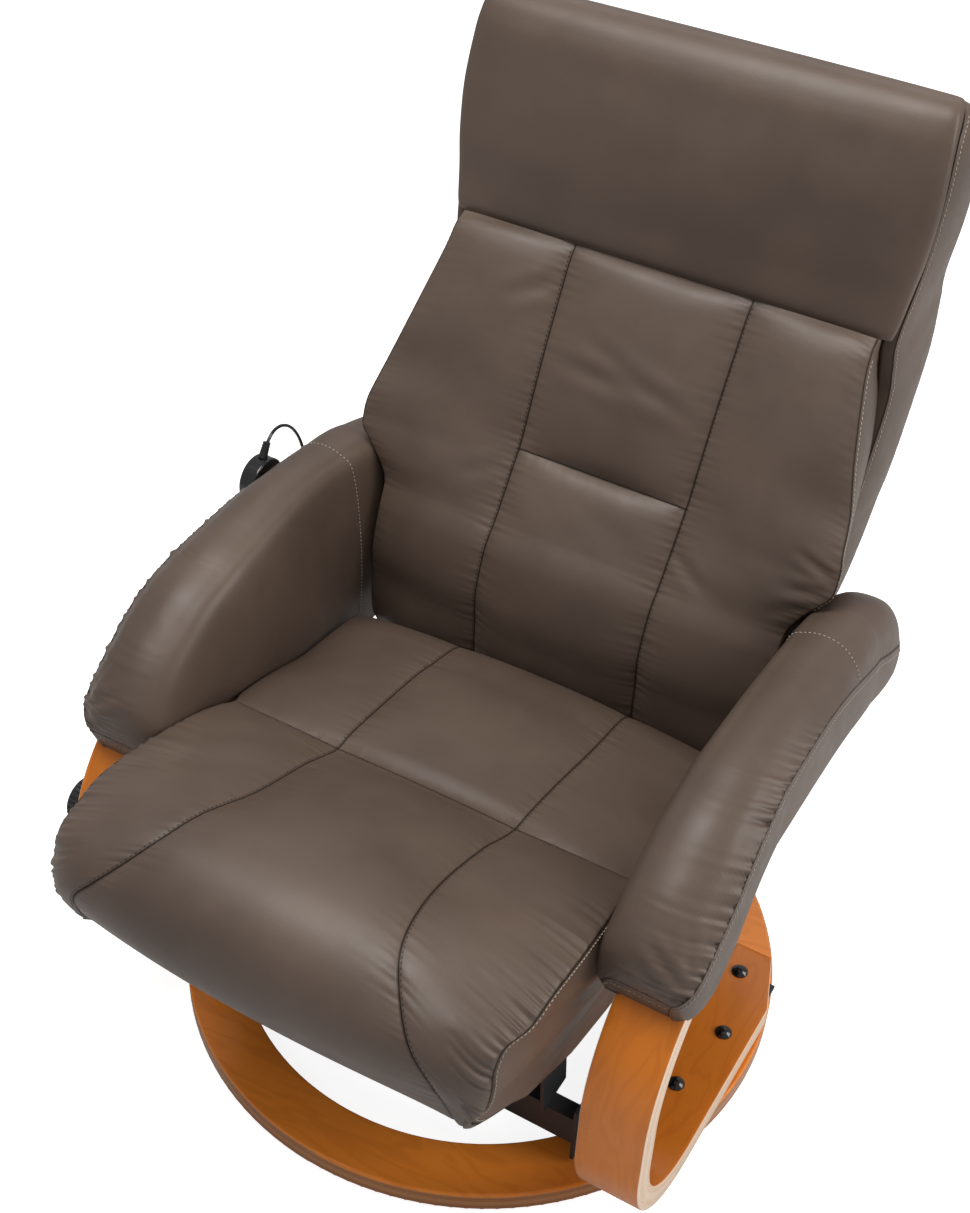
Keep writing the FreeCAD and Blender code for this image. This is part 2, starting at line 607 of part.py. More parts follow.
def arm_section(y, lean, seam, panel, inset):
    """Closed outline of the arm pad on the +X side, in a plane leaning back from the vertical."""
    tilt = math.radians(lean)
    base_z = wood_top(y) + SOFT_GAP

    def at(x, height):
        return V(x, y - math.sin(tilt) * height, base_z + math.cos(tilt) * height)

    back = WOOD_INNER - SOFT_GAP
    foot = at(back, -panel)
    toe = at(ARM_INNER + inset / 2, -panel)
    shoulder = at(ARM_INNER + inset, seam - ARM_INNER_DROP)
    top_seam = at(ARM_SEAM - inset, seam)
    outer_foot = at(ARM_OUTER - inset, 0.0)
    inner_mid = at(ARM_INNER - ARM_INNER_BULGE + inset, (seam - ARM_INNER_DROP - panel) / 2)
    crown = at(ARM_CREST, seam + ARM_CROWN - 1.4 * inset)
    bulge = at(ARM_OUTER + ARM_BULGE - inset, seam / 2)
    edges = [line(foot, at(back, 0.0)), line(at(back, 0.0), outer_foot), bow(outer_foot, bulge, top_seam),
             bow(top_seam, crown, shoulder), bow(shoulder, inner_mid, toe), line(toe, foot)]
    return Part.Wire(edges)


def make_arm_pad():
    pad = Part.makeLoft([arm_section(*row) for row in ARM_SECTIONS], True, True)
    groove = arm_board_blank(FIT, ARM_BOARD + FIT, FIT)
    pad = pad.cut(groove)
    # The hollow of the wood's bend is kept clear of the pad.
    return pad.cut(strip(-SOFT_GAP / 2, WOOD_THICKNESS + SOFT_GAP, (WOOD_INNER - FIT, WOOD_OUTER + 10.0)))


def arm_board_blank(low, high, spare):
    board = strip(-high, -low, (ARM_BOARD_X[0] - spare, ARM_BOARD_X[1] + spare))
    reach = (ARM_BOARD_Y[0] - spare, ARM_BOARD_Y[1] + spare)
    window = box((0, 500.0), reach, (ARM_TOP - 120.0, ARM_TOP + 60.0))
    return board.common(window)


def make_arm_board():
    board = arm_board_blank(SOFT_GAP / 2, ARM_BOARD - SOFT_GAP, 0.0)
    return cut_arm_screws(board, ARM_SCREW_RADIUS)


def cut_arm_screws(shape, radius):
    x = (ARM_BOARD_X[0] + ARM_BOARD_X[1]) / 2
    for y in ARM_SCREW_Y:
        shape = shape.cut(rod((x, y, ARM_TOP - WOOD_THICKNESS - 8.0), (0, 0, 1), radius, WOOD_THICKNESS + 18.0))
    return shape


def make_wood_screws():
    x = (ARM_BOARD_X[0] + ARM_BOARD_X[1]) / 2
    under = ARM_TOP - WOOD_THICKNESS
    screws = []
    for side in (-1, 1):
        for y in ARM_SCREW_Y:
            shank = rod((side * x, y, under), (0, 0, 1), ARM_SCREW_RADIUS, WOOD_THICKNESS + 9.0)
            head = rod((side * x, y, under - 3.5), (0, 0, 1), ARM_SCREW_HEAD, 3.5)
            screws.append(head.fuse(shank))
    for y in POCKET_SCREW_Y:
        start = pocket_screw_line(y)
        shank = rod(start, (1, 0, 0), POCKET_SCREW_RADIUS, POCKET_SCREW_LENGTH)
        head = rod((start[0] - 0.9, start[1], start[2]), (1, 0, 0), 2 * POCKET_SCREW_RADIUS, 0.9)
        screws.append(head.fuse(shank))
    return group(screws)


def tilted(y, lift, x):
    """Slab between two values of y, lift over the slide line and x."""
    corners = [slide_point(y[0], lift[0]), slide_point(y[1], lift[0]), slide_point(y[1], lift[1]),
               slide_point(y[0], lift[1])]
    return side_prism(corners, x)


def make_hinge_plate():
    flange = strip(WOOD_THICKNESS, WOOD_THICKNESS + BRACKET_STEEL, (HINGE_PLATE_X[0], WOOD_OUTER - 34.0))
    plate = strip(WOOD_THICKNESS, WOOD_THICKNESS + 24.0, HINGE_PLATE_X)
    window = box((0, 500.0), (HINGE_Y - 18.0, HINGE_Y + 50.0), (300.0, 600.0))
    shape = flange.common(window).fuse(plate.common(window))
    lug = [(HINGE_Y - 17.0, HINGE_Z), (HINGE_Y + 17.0, HINGE_Z), (HINGE_Y + 46.0, HINGE_Z + 14.0),
           (HINGE_Y - 17.0, HINGE_Z + 18.0)]
    shape = shape.fuse(side_prism(lug, HINGE_PLATE_X))
    shape = shape.fuse(rod((HINGE_PLATE_X[0], HINGE_Y, HINGE_Z), (1, 0, 0), HINGE_LUG,
                           HINGE_PLATE_X[1] - HINGE_PLATE_X[0]))
    return shape.cut(rod((HINGE_PLATE_X[0], HINGE_Y, HINGE_Z), (1, 0, 0), HINGE_PIN, 10.0)).removeSplitter()


def make_hinge_pins():
    inner = SIDE_PLATE_X[0] + 0.3
    pins = []
    for side in (-1, 1):
        pin = rod((side * inner, HINGE_Y, HINGE_Z), (side, 0, 0), HINGE_PIN, HINGE_PLATE_X[1] - inner)
        pins.append(pin)
    return group(pins)


def make_hinge_bushes():
    inner = SIDE_PLATE_X[0]
    length = HINGE_PLATE_X[0] - 0.2 - inner
    bushes = [hollow_rod((side * inner, HINGE_Y, HINGE_Z), (side, 0, 0), HINGE_BUSH, HINGE_PIN + FIT, length)
              for side in (-1, 1)]
    return group(bushes)


def make_side_plate():
    """Plate of the back on the +X side, from the link bar past the hinge to the two frame bosses."""
    outline = [(LINK_Y - 14.0, LINK_Z), (LINK_Y + 14.0, LINK_Z), (HINGE_Y + 20.0, HINGE_Z - 10.0),
               (BOSS_PLACES[0][0] + 16.0, BOSS_PLACES[0][1] - 6.0), (BOSS_PLACES[1][0] + 15.0, BOSS_PLACES[1][1]),
               (BOSS_PLACES[1][0] - 13.0, BOSS_PLACES[1][1] + 4.0), (HINGE_Y - 2.0, HINGE_Z + 20.0),
               (HINGE_Y - 18.0, HINGE_Z)]
    shape = side_prism(outline, SIDE_PLATE_X)
    wide = SIDE_PLATE_X[1] - SIDE_PLATE_X[0]
    rounds = [(LINK_Y, LINK_Z, 14.0), (HINGE_Y, HINGE_Z, 20.0), (BOSS_PLACES[1][0], BOSS_PLACES[1][1], 14.0)]
    for y, z, radius in rounds:
        shape = shape.fuse(rod((SIDE_PLATE_X[0], y, z), (1, 0, 0), radius, wide))
    shape = shape.removeSplitter()
    holes = [(LINK_Y, LINK_Z, LINK_PIN), (HINGE_Y, HINGE_Z, HINGE_BUSH)]
    for y, z, radius in holes:
        shape = shape.cut(rod((SIDE_PLATE_X[0], y, z), (1, 0, 0), radius, wide))
    return shape


def make_link_bar():
    reach = SIDE_PLATE_X[1] + 2.0
    return rod((-reach, LINK_Y, LINK_Z), (1, 0, 0), LINK_PIN, 2 * reach)


def make_back_frame():
    bend = [0.0] + [BACK_TUBE_BEND] * (len(BACK_TUBE_PATH) - 2) + [0.0]
    pieces = rounded_pieces(BACK_TUBE_PATH, bend)
    path = Part.Wire(edges_in_side_plane(pieces, BACK_TUBE_X))
    start = BACK_TUBE_PATH[0]
    heading = unit(BACK_TUBE_PATH[1][0] - start[0], BACK_TUBE_PATH[1][1] - start[1])
    ring = Part.Wire([Part.Circle(V(BACK_TUBE_X, *start), V(0, *heading), BACK_TUBE).toShape()])
    bore = Part.Wire([Part.Circle(V(BACK_TUBE_X, *start), V(0, *heading), BACK_TUBE - TUBE_WALL).toShape()])
    tube = path.makePipeShell([ring], True, True).cut(path.makePipeShell([bore], True, True))
    shape = tube.fuse(mirrored(tube))
    for z in BACK_BAR_HEIGHTS:
        reach = BACK_TUBE_X - BACK_TUBE + 1.0
        bar = hollow_rod((-reach, along_tube(z), z), (1, 0, 0), BOSS_RADIUS, BOSS_RADIUS - TUBE_WALL, 2 * reach)
        shape = shape.fuse(bar)
    for side in (-1, 1):
        for y, z in BOSS_PLACES:
            start = (side * (BACK_TUBE_X + BACK_TUBE - 1.5), y, z)
            shape = shape.fuse(rod(start, (side, 0, 0), BOSS_RADIUS, SIDE_PLATE_X[0] - abs(start[0])))
    return shape


def along_tube(z):
    """Place y of the back's tube at one height, on the straight runs of its path."""
    for low, high in zip(BACK_TUBE_PATH[:-1], BACK_TUBE_PATH[1:]):
        if z <= high[1]:
            return low[0] + (high[0] - low[0]) * (z - low[1]) / (high[1] - low[1])
    return BACK_TUBE_PATH[-1][0]


def shell_section(front, rear, half, bulge, rear_bulge):
    a, b = V(-half, *front), V(half, *front)
    c, d = V(half, *rear), V(-half, *rear)
    depth = unit(rear[0] - front[0], rear[1] - front[1])
    side = V(half + bulge, (front[0] + rear[0]) / 2, (front[1] + rear[1]) / 2)
    other = V(-side.x, side.y, side.z)
    back = V(0, rear[0] + rear_bulge * depth[0], rear[1] + rear_bulge * depth[1])
    return Part.Wire([line(a, b), bow(b, side, c), bow(c, back, d), bow(d, other, a)])


def shell_rear_bulge(front, rear):
    """Rear bulge of one row, less where the shell is thin."""
    return SHELL_REAR_BULGE * min(1.0, math.hypot(rear[0] - front[0], rear[1] - front[1]) / SHELL_FULL_DEPTH)


def make_back_shell():
    outer = Part.makeLoft([shell_section(*row, SHELL_SIDE_BULGE, shell_rear_bulge(*row[:2])) for row in SHELL],
                          True, True)
    inner_rows = []
    for front, rear, half in SHELL[1:-1]:
        depth = unit(rear[0] - front[0], rear[1] - front[1])
        start = (front[0] - 30.0 * depth[0], front[1] - 30.0 * depth[1])
        end = (rear[0] - SHELL_REAR_WALL * depth[0], rear[1] - SHELL_REAR_WALL * depth[1])
        bulge = 0.8 * shell_rear_bulge(front, rear)
        inner_rows.append(shell_section(start, end, half - SHELL_WALL, 1.0, bulge))
    shape = outer.cut(Part.makeLoft(inner_rows, True, True))
    for side in (-1, 1):
        for y, z in BOSS_PLACES:
            shape = shape.cut(rod((side * BACK_TUBE_X, y, z), (side, 0, 0), BOSS_RADIUS + SOFT_GAP, 60.0))
    return shape


def board_section(front, rear, half):
    depth = unit(rear[0] - front[0], rear[1] - front[1])
    wide = half - SHELL_WALL - BOARD_GAP
    end = (front[0] + BOARD * depth[0], front[1] + BOARD * depth[1])
    points = [V(-wide, *front), V(wide, *front), V(wide, *end), V(-wide, *end)]
    return Part.makePolygon(points + [points[0]])


def make_back_board():
    return Part.makeLoft([board_section(*row) for row in SHELL[1:-1]], True, True)


def shell_front(z):
    rows = [row[0] for row in SHELL]
    for low, high in zip(rows[:-1], rows[1:]):
        if z <= high[1]:
            return low[0] + (high[0] - low[0]) * (z - low[1]) / (high[1] - low[1])
    return rows[-1][0]


def shell_half(z):
    for low, high in zip(SHELL[:-1], SHELL[1:]):
        if z <= high[0][1]:
            share = (z - low[0][1]) / (high[0][1] - low[0][1])
            return low[2] + (high[2] - low[2]) * share
    return SHELL[-1][2]


def back_cushion_section(sewn, edge_z, half, middle, sides, wing):
    """Outline of the front back cushion in the plane through its sewn line and the shell's edge."""
    rear = (shell_front(edge_z), edge_z)
    forward = unit(sewn[0] - rear[0], sewn[1] - rear[1])
    depth = math.hypot(sewn[0] - rear[0], sewn[1] - rear[1])

    def at(x, reach):
        return V(x, rear[0] + forward[0] * reach, rear[1] + forward[1] * reach)

    edge = depth + wing
    wide = min(half - 1.0, shell_half(edge_z) - 2.0)
    mid = (BACK_SEAM_X + half) / 2
    flank = (half + wide) / 2 + 4.0
    edges = [line(at(-wide, SOFT_GAP), at(wide, SOFT_GAP)),
             bow(at(wide, SOFT_GAP), at(flank, edge / 2), at(half, edge)),
             bow(at(half, edge), at(mid, depth + wing / 2 + sides), at(BACK_SEAM_X, depth)),
             bow(at(BACK_SEAM_X, depth), at(0, depth + middle), at(-BACK_SEAM_X, depth)),
             bow(at(-BACK_SEAM_X, depth), at(-mid, depth + wing / 2 + sides), at(-half, edge)),
             bow(at(-half, edge), at(-flank, edge / 2), at(-wide, SOFT_GAP))]
    return Part.Wire(edges)


def back_motor_places():
    """Base points and forward directions of the motors, on flat facets of the back board."""
    places = []
    for lower, upper in BACK_MOTOR_FACETS:
        low, high = lower[0], upper[0]
        rise = unit(high[0] - low[0], high[1] - low[1])
        for side in (-1, 1):
            base = V(side * MOTOR_X, (low[0] + high[0]) / 2, (low[1] + high[1]) / 2)
            places.append((base, V(0, -rise[1], rise[0])))
    return places


def make_back_cushion():
    shape = Part.makeLoft([back_cushion_section(*row) for row in BACK_SECTIONS], True, True)
    for base, way in back_motor_places():
        start = base - way * 2.0
        shape = shape.cut(Part.makeCylinder(MOTOR_RADIUS + SOFT_GAP, MOTOR_DEPTH + 2.0 + SOFT_GAP, start, way))
    return shape


def make_back_motors():
    return group([Part.makeCylinder(MOTOR_RADIUS, MOTOR_DEPTH, base, way) for base, way in back_motor_places()])


def make_headrest_pad():
    wires = []
    for (sewn, half, crown), seam in zip(HEAD_SECTIONS, HEAD_SEAM):
        forward = unit(sewn[0] - seam[0], sewn[1] - seam[1])
        depth = math.hypot(sewn[0] - seam[0], sewn[1] - seam[1])

        def at(x, reach):
            return V(x, seam[0] + forward[0] * reach, seam[1] + forward[1] * reach)

        wires.append(Part.Wire([line(at(-half, SOFT_GAP), at(half, SOFT_GAP)),
                                bow(at(half, SOFT_GAP), at(half + 1.5, depth / 2), at(half - 2.0, depth)),
                                bow(at(half - 2.0, depth), at(0, depth + crown), at(2.0 - half, depth)),
                                bow(at(2.0 - half, depth), at(-half - 1.5, depth / 2), at(-half, SOFT_GAP))]))
    return Part.makeLoft(wires, True, True)


def seat_section(x, inset, full):
    """Side profile of the seat cushion at one x, drawn in by an inset and puffed over its sewn line."""
    share = abs(x) / SEAT_HALF
    crest = SEAT_CREST_Z - 27.0 * share ** 4 - inset
    crest_y = SEAT_CREST_Y + 10.0 * share ** 4
    front_y = SEAT_FRONT_Y + 36.0 * share ** 4 + inset
    seam_z = SEAT_SEAM_Z - inset / 2
    rear_top = SEAT_REAR_TOP + 22.0 * (1 - share ** 2) - 16.0 - inset
    rear_y = SEAT_REAR_Y - inset / 2
    puff = SEAT_PUFF * full
    under = (SEAT_UNDER_Y + inset / 2, SEAT_UNDER_Z + inset)
    side = (SEAT_SIDE_Y, SEAT_SIDE_Z + inset)
    low = (rear_y, SEAT_REAR_LOW + inset)
    lip = (SEAT_LIP_Y + 14.0 * share ** 4 + inset, SEAT_LIP_Z + inset)
    front = (front_y, SEAT_FRONT_Z - 6.0 * share ** 4)
    rear_mid = ((rear_y + SEAT_SEAM_Y) / 2, (rear_top + seam_z) / 2 + 9.0 + puff)
    seat_mid = ((SEAT_SEAM_Y + crest_y) / 2, (seam_z + crest) / 2 + 4.0 + 0.8 * puff)
    top = (crest_y, crest + puff)
    roll = (front_y + 0.293 * (crest_y - front_y), front[1] + 0.72 * (top[1] - front[1]))
    chin = ((front[0] + lip[0]) / 2 - 6.0, (front[1] + lip[1]) / 2 - 5.0)

    def at(point):
        return V(x, point[0], point[1])

    edges = [line(at(low), at((rear_y, rear_top))),
             bow(at((rear_y, rear_top)), at(rear_mid), at((SEAT_SEAM_Y, seam_z))),
             bow(at((SEAT_SEAM_Y, seam_z)), at(seat_mid), at(top)), bow(at(top), at(roll), at(front)),
             bow(at(front), at(chin), at(lip)), line(at(lip), at(under)), line(at(under), at(side)),
             line(at(side), at(low))]
    return Part.Wire(edges)


def seat_fullness(x):
    x = abs(x)
    if x <= SEAT_SEAM_X:
        return 1 - (x / SEAT_SEAM_X) ** 2
    share = (x - SEAT_SEAM_X) / (SEAT_HALF - SEAT_SEAM_X)
    return 3.6 * share * (1 - share)


def seat_motor_places():
    """Bases of the seat motors on the webbing, and the way up."""
    slope = math.radians(SLIDE_ANGLE)
    way = V(0, math.sin(slope), math.cos(slope))
    lift = SEAT_TUBE_LOW + SEAT_TUBE + TUBE_WALL
    return [(V(side * MOTOR_X, *slide_point(y, lift)), way) for side in (-1, 1) for y in SEAT_MOTOR_Y]


def make_seat_cushion():
    stations = [(252.0, 9.0), (248.0, 3.0), (240.0, 0.0), (215.0, 0.0), (185.0, 0.0), (155.0, 0.0), (125.0, 0.0),
                (SEAT_SEAM_X, 1.5), (88.0, 0.0), (60.0, 0.0), (30.0, 0.0), (0.0, 0.0)]
    row = stations + [(-x, inset) for x, inset in reversed(stations[:-1])]
    shape = Part.makeLoft([seat_section(x, inset, seat_fullness(x)) for x, inset in row], True, True)
    cavity = tilted(CAVITY_Y, (-60.0, CAVITY_LIFT), (-CAVITY_X, CAVITY_X))
    shape = shape.cut(cavity)
    for base, way in seat_motor_places():
        shape = shape.cut(Part.makeCylinder(MOTOR_RADIUS + SOFT_GAP, MOTOR_DEPTH + SOFT_GAP, base, way))
    return shape


def make_seat_motors():
    return group([Part.makeCylinder(MOTOR_RADIUS, MOTOR_DEPTH, base, way) for base, way in seat_motor_places()])


def make_seat_frame():
    outer, inner = SEAT_FRAME_INNER + SEAT_TUBE, SEAT_FRAME_INNER
    low, high = SEAT_TUBE_LOW, SEAT_TUBE_LOW + SEAT_TUBE
    rear, front = SEAT_FRAME_Y[1], SEAT_FRAME_Y[0]
    walls = []
    hollows = []
    for side in (-1, 1):
        walls.append(tilted((front, rear), (low, high), (side * inner, side * outer)))
        hollows.append(tilted((front + 1.0, rear - 1.0), (low + TUBE_WALL, high - TUBE_WALL),
                              (side * (inner + TUBE_WALL), side * (outer - TUBE_WALL))))
    for y in ((front, front + SEAT_TUBE), (rear - SEAT_TUBE, rear)):
        walls.append(tilted(y, (low, high), (-inner, inner)))
        hollows.append(tilted((y[0] + TUBE_WALL, y[1] - TUBE_WALL), (low + TUBE_WALL, high - TUBE_WALL),
                              (-inner, inner)))
    shape = walls[0].multiFuse(walls[1:])
    for hollow in hollows:
        shape = shape.cut(hollow)
    return shape.removeSplitter()


def make_seat_webbing():
    """Elastic straps laid crosswise over the seat frame."""
    straps = []
    low = SEAT_TUBE_LOW + SEAT_TUBE
    reach = SEAT_FRAME_INNER + SEAT_TUBE - 1.0
    width = 52.0
    step = (SEAT_FRAME_Y[1] - SEAT_FRAME_Y[0] - width - 4.0) / 5
    for index in range(6):
        start = SEAT_FRAME_Y[0] + 2.0 + index * step
        straps.append(tilted((start, start + width), (low, low + TUBE_WALL), (-reach, reach)))
    return group(straps)


def slot(y, length, x):
    """Slot cutter along the slide line, from a pin's place towards the rear."""
    radius = PIN_RADIUS + SLOT_PLAY
    slope = math.radians(SLIDE_ANGLE)
    end = y + length * math.cos(slope)
    low, wide = min(x), abs(x[1] - x[0])
    shape = tilted((y, end), (-radius, radius), x)
    for place in (y, end):
        point = slide_point(place, 0.0)
        shape = shape.fuse(rod((low, point[0], point[1]), (1, 0, 0), radius, wide))
    return shape


def make_seat_slider():
    """Slotted plate on the +X side: it hangs from the seat frame and reaches back to the link bar."""
    lead = [slide_point(SEAT_FRAME_Y[0] + 30.0, -10.0), slide_point(150.0, -RAIL_HALF), (196.0, 168.0),
            (LINK_Y + LINK_EAR - 2.0, LINK_Z - 8.0), (LINK_Y - LINK_EAR + 2.0, LINK_Z + 6.0), (150.0, 196.0),
            slide_point(112.0, SEAT_TUBE_LOW), slide_point(SEAT_FRAME_Y[0], SEAT_TUBE_LOW)]
    shape = side_prism(lead, SLIDER_X)
    wide = SLIDER_X[1] - SLIDER_X[0]
    shape = shape.fuse(rod((SLIDER_X[0], LINK_Y, LINK_Z), (1, 0, 0), LINK_EAR, wide)).removeSplitter()
    shape = shape.cut(rod((SLIDER_X[0], LINK_Y, LINK_Z), (1, 0, 0), LINK_HOLE, wide))
    for y in (PIN_FRONT_Y, PIN_REAR_Y):
        shape = shape.cut(slot(y, SLIDE_TRAVEL, SLIDER_X))
    return shape


PIN_END = SLIDER_X[1] + 4.0


def make_seat_support(bored):
    """Plate on the +X side standing on the cross tubes, with its two slide pins."""
    front_leg, rear_leg = FRONT_TUBE_Y, REAR_TUBE_Y
    rail = tilted((-250.0, 116.0), (-RAIL_HALF, RAIL_HALF), RAIL_X)
    front = side_prism([(front_leg - 8.0, TUBE_TOP), (front_leg + TUBE_DEPTH + 22.0, TUBE_TOP),
                        (front_leg + TUBE_DEPTH + 8.0, 236.0), (front_leg - 22.0, 250.0)], RAIL_X)
    rear = side_prism([(rear_leg - 24.0, TUBE_TOP), (rear_leg + TUBE_DEPTH, TUBE_TOP),
                       (rear_leg + TUBE_DEPTH, 158.0), (rear_leg - 16.0, 168.0)], RAIL_X)
    feet = [box((RAIL_X[0] - 22.0, RAIL_X[1]), (y, y + TUBE_DEPTH), (TUBE_TOP, TUBE_TOP + BRACKET_STEEL))
            for y in (front_leg, rear_leg)]
    shape = rail.multiFuse([front, rear] + feet)
    for y in (PIN_FRONT_Y, PIN_REAR_Y):
        point = slide_point(y, 0.0)
        shape = shape.fuse(rod((RAIL_X[0], point[0], point[1]), (1, 0, 0), PIN_RADIUS, PIN_END - RAIL_X[0]))
    if bored:
        point = slide_point(PIN_FRONT_Y, 0.0)
        shape = shape.cut(rod((RAIL_X[0] - 1.0, point[0], point[1]), (1, 0, 0), STUD_RADIUS + FIT, 20.0))
    return shape.removeSplitter()


def make_lock_stud():
    """Clamp stud, its inner head and the sleeve that turns with the knob, on the -X side."""
    start = (-(RAIL_X[0] - 6.0), PIN_FRONT_Y, PIN_FRONT_Z)
    head = rod(start, (-1, 0, 0), 11.0, 5.9)
    stud = rod(start, (-1, 0, 0), STUD_RADIUS, KNOB_X[1] - 8.0 - (RAIL_X[0] - 6.0))
    inner = PIN_END + 0.1
    sleeve = rod((-inner, PIN_FRONT_Y, PIN_FRONT_Z), (-1, 0, 0), SLEEVE_RADIUS, KNOB_X[0] - inner)
    return head.fuse(stud).fuse(sleeve).removeSplitter()


def make_lock_knob():
    start = (-KNOB_X[0], PIN_FRONT_Y, PIN_FRONT_Z)
    width = KNOB_X[1] - KNOB_X[0]
    core = rod(start, (-1, 0, 0), KNOB_RADIUS - KNOB_RIB, width)
    core = core.makeFillet(3.0, [e for e in core.Edges if e.BoundBox.XMax < -KNOB_X[1] + 0.01])
    ribs = []
    for index in range(KNOB_RIBS):
        angle = 2 * math.pi * index / KNOB_RIBS
        reach = KNOB_RADIUS - KNOB_RIB
        place = (-KNOB_X[0] - 2.0, PIN_FRONT_Y + reach * math.cos(angle), PIN_FRONT_Z + reach * math.sin(angle))
        ribs.append(rod(place, (-1, 0, 0), KNOB_RIB, width - 5.0))
    shape = core.multiFuse(ribs)
    dish = rod((-KNOB_X[1] - 0.1, PIN_FRONT_Y, PIN_FRONT_Z), (1, 0, 0), KNOB_RADIUS - 9.0, 2.1)
    bore = rod(start, (-1, 0, 0), STUD_RADIUS, KNOB_X[1] - 8.0 - KNOB_X[0])
    return shape.cut(dish).cut(bore)


BOX_Z = HUB_TOP


def make_control_box():
    shape = box(BOX_X, BOX_Y, (BOX_Z, BOX_Z + BOX_HEIGHT))
    shape = shape.makeFillet(4.0, [e for e in shape.Edges if e.BoundBox.ZLength > BOX_HEIGHT - 1.0])
    inside = box((BOX_X[0] + BOX_WALL, BOX_X[1] - BOX_WALL), (BOX_Y[0] + BOX_WALL, BOX_Y[1] - BOX_WALL),
                 (BOX_Z + BOX_WALL, BOX_Z + BOX_HEIGHT))
    shape = shape.cut(inside)
    middle = BOX_Z + BOX_HEIGHT / 2
    shape = shape.cut(rod((BOX_X[0], GLAND_Y, middle), (1, 0, 0), GLAND_RADIUS - 2.0, BOX_WALL))
    return shape.cut(rod((INLET_X, BOX_Y[1] - BOX_WALL, middle), (0, 1, 0), INLET_RADIUS, BOX_WALL))


def make_box_lid():
    top = BOX_Z + BOX_HEIGHT
    shape = box(BOX_X, BOX_Y, (top, top + LID))
    shape = shape.makeFillet(1.0, [e for e in shape.Edges if e.BoundBox.ZMin > top + LID - 0.01])
    lip = box((BOX_X[0] + BOX_WALL + FIT, BOX_X[1] - BOX_WALL - FIT), (BOX_Y[0] + BOX_WALL + FIT,
              BOX_Y[1] - BOX_WALL - FIT), (top - 3.0, top))
    return shape.fuse(lip).removeSplitter()


def make_cord_gland():
    middle = BOX_Z + BOX_HEIGHT / 2
    start = (BOX_X[0], GLAND_Y, middle)
    shape = rod(start, (-1, 0, 0), GLAND_RADIUS, 5.0)
    cone = Part.makeCone(GLAND_RADIUS - 1.0, GLAND_RADIUS - 3.0, GLAND_LENGTH - 5.0,
                         V(BOX_X[0] - 5.0, GLAND_Y, middle), V(-1, 0, 0))
    stem = rod((BOX_X[0] + BOX_WALL, GLAND_Y, middle), (-1, 0, 0), GLAND_RADIUS - 2.0, BOX_WALL)
    shape = shape.fuse(cone).fuse(stem)
    bore = rod((BOX_X[0] + BOX_WALL, GLAND_Y, middle), (-1, 0, 0), CORD_RADIUS + CORD_CLEARANCE, 30.0)
    return shape.cut(bore).removeSplitter()


def make_power_inlet():
    middle = BOX_Z + BOX_HEIGHT / 2
    start = (INLET_X, BOX_Y[1] - 14.0, middle)
    shape = rod(start, (0, 1, 0), INLET_RADIUS, 14.0)
    flange = rod((INLET_X, BOX_Y[1], middle), (0, 1, 0), INLET_RADIUS + 2.0, 2.0)
    shape = shape.fuse(flange)
    bore = hollow_rod((INLET_X, BOX_Y[1] - 8.0, middle), (0, 1, 0), INLET_BORE, 1.0, 10.0)
    return shape.cut(bore)


def rounded_plate(y, z, radii, x):
    """Prism along x on a rectangle with its own radius at the top corners and at the low corners."""
    top, low = radii
    points = [(y[0] + low, z[0]), (y[1] - low, z[0]), (y[1], z[0] + low), (y[1], z[1] - top),
              (y[1] - top, z[1]), (y[0] + top, z[1]), (y[0], z[1] - top), (y[0], z[0] + low)]
    bend = math.sqrt(0.5)
    centres = [(y[1] - low, z[0] + low, low, 1, -1), (y[1] - top, z[1] - top, top, 1, 1),
               (y[0] + top, z[1] - top, top, -1, 1), (y[0] + low, z[0] + low, low, -1, -1)]
    start = min(x)
    edges = []
    for index in range(4):
        a, b = points[2 * index], points[2 * index + 1]
        c = points[(2 * index + 2) % 8]
        cy, cz, radius, sy, sz = centres[index]
        middle = (cy + sy * radius * bend, cz + sz * radius * bend)
        edges.append(line(V(start, *a), V(start, *b)))
        edges.append(bow(V(start, *b), V(start, *middle), V(start, *c)))
    return Part.Face(Part.Wire(edges)).extrude(V(abs(x[1] - x[0]), 0, 0))


def handset_blank(inset, x):
    y = (HANDSET_Y[0] + inset, HANDSET_Y[1] - inset)
    z = (HANDSET_Z[0] + inset, HANDSET_Z[1] - inset)
    return rounded_plate(y, z, (HANDSET_TOP_ROUND - inset, HANDSET_LOW_ROUND - inset), x)


def make_handset_half(outer):
    x = (HANDSET_X[0], HANDSET_SPLIT) if outer else (HANDSET_SPLIT, HANDSET_X[1])
    face = HANDSET_X[0] if outer else HANDSET_X[1]
    shape = handset_blank(0.0, x)
    rim = [e for e in shape.Edges if abs(e.BoundBox.XMin - face) < 0.01 and abs(e.BoundBox.XMax - face) < 0.01]
    shape = shape.makeFillet(HANDSET_EDGE, rim)
    inner = (face + HANDSET_WALL, HANDSET_SPLIT) if outer else (HANDSET_SPLIT, face - HANDSET_WALL)
    shape = shape.cut(handset_blank(HANDSET_WALL, inner))
    base, way = relief_line()
    shape = shape.cut(rod(tuple(base - way * 12.0), tuple(way), CORD_RADIUS + 1.0 + FIT, 30.0))
    if outer:
        for y, z in BUTTON_PLACES.values():
            shape = shape.cut(rod((HANDSET_X[0] - 1.0, y, z), (1, 0, 0), BUTTON_HOLE, 5.0))
    return shape


def make_circuit_board():
    board = handset_blank(HANDSET_WALL, (HANDSET_SPLIT, HANDSET_SPLIT + 1.6))
    base, way = relief_line()
    return board.cut(rod(tuple(base - way * 12.0), tuple(way), CORD_RADIUS + 1.0 + FIT, 30.0))


BUTTON_FLANGE_X = HANDSET_X[0] + HANDSET_WALL + 0.05


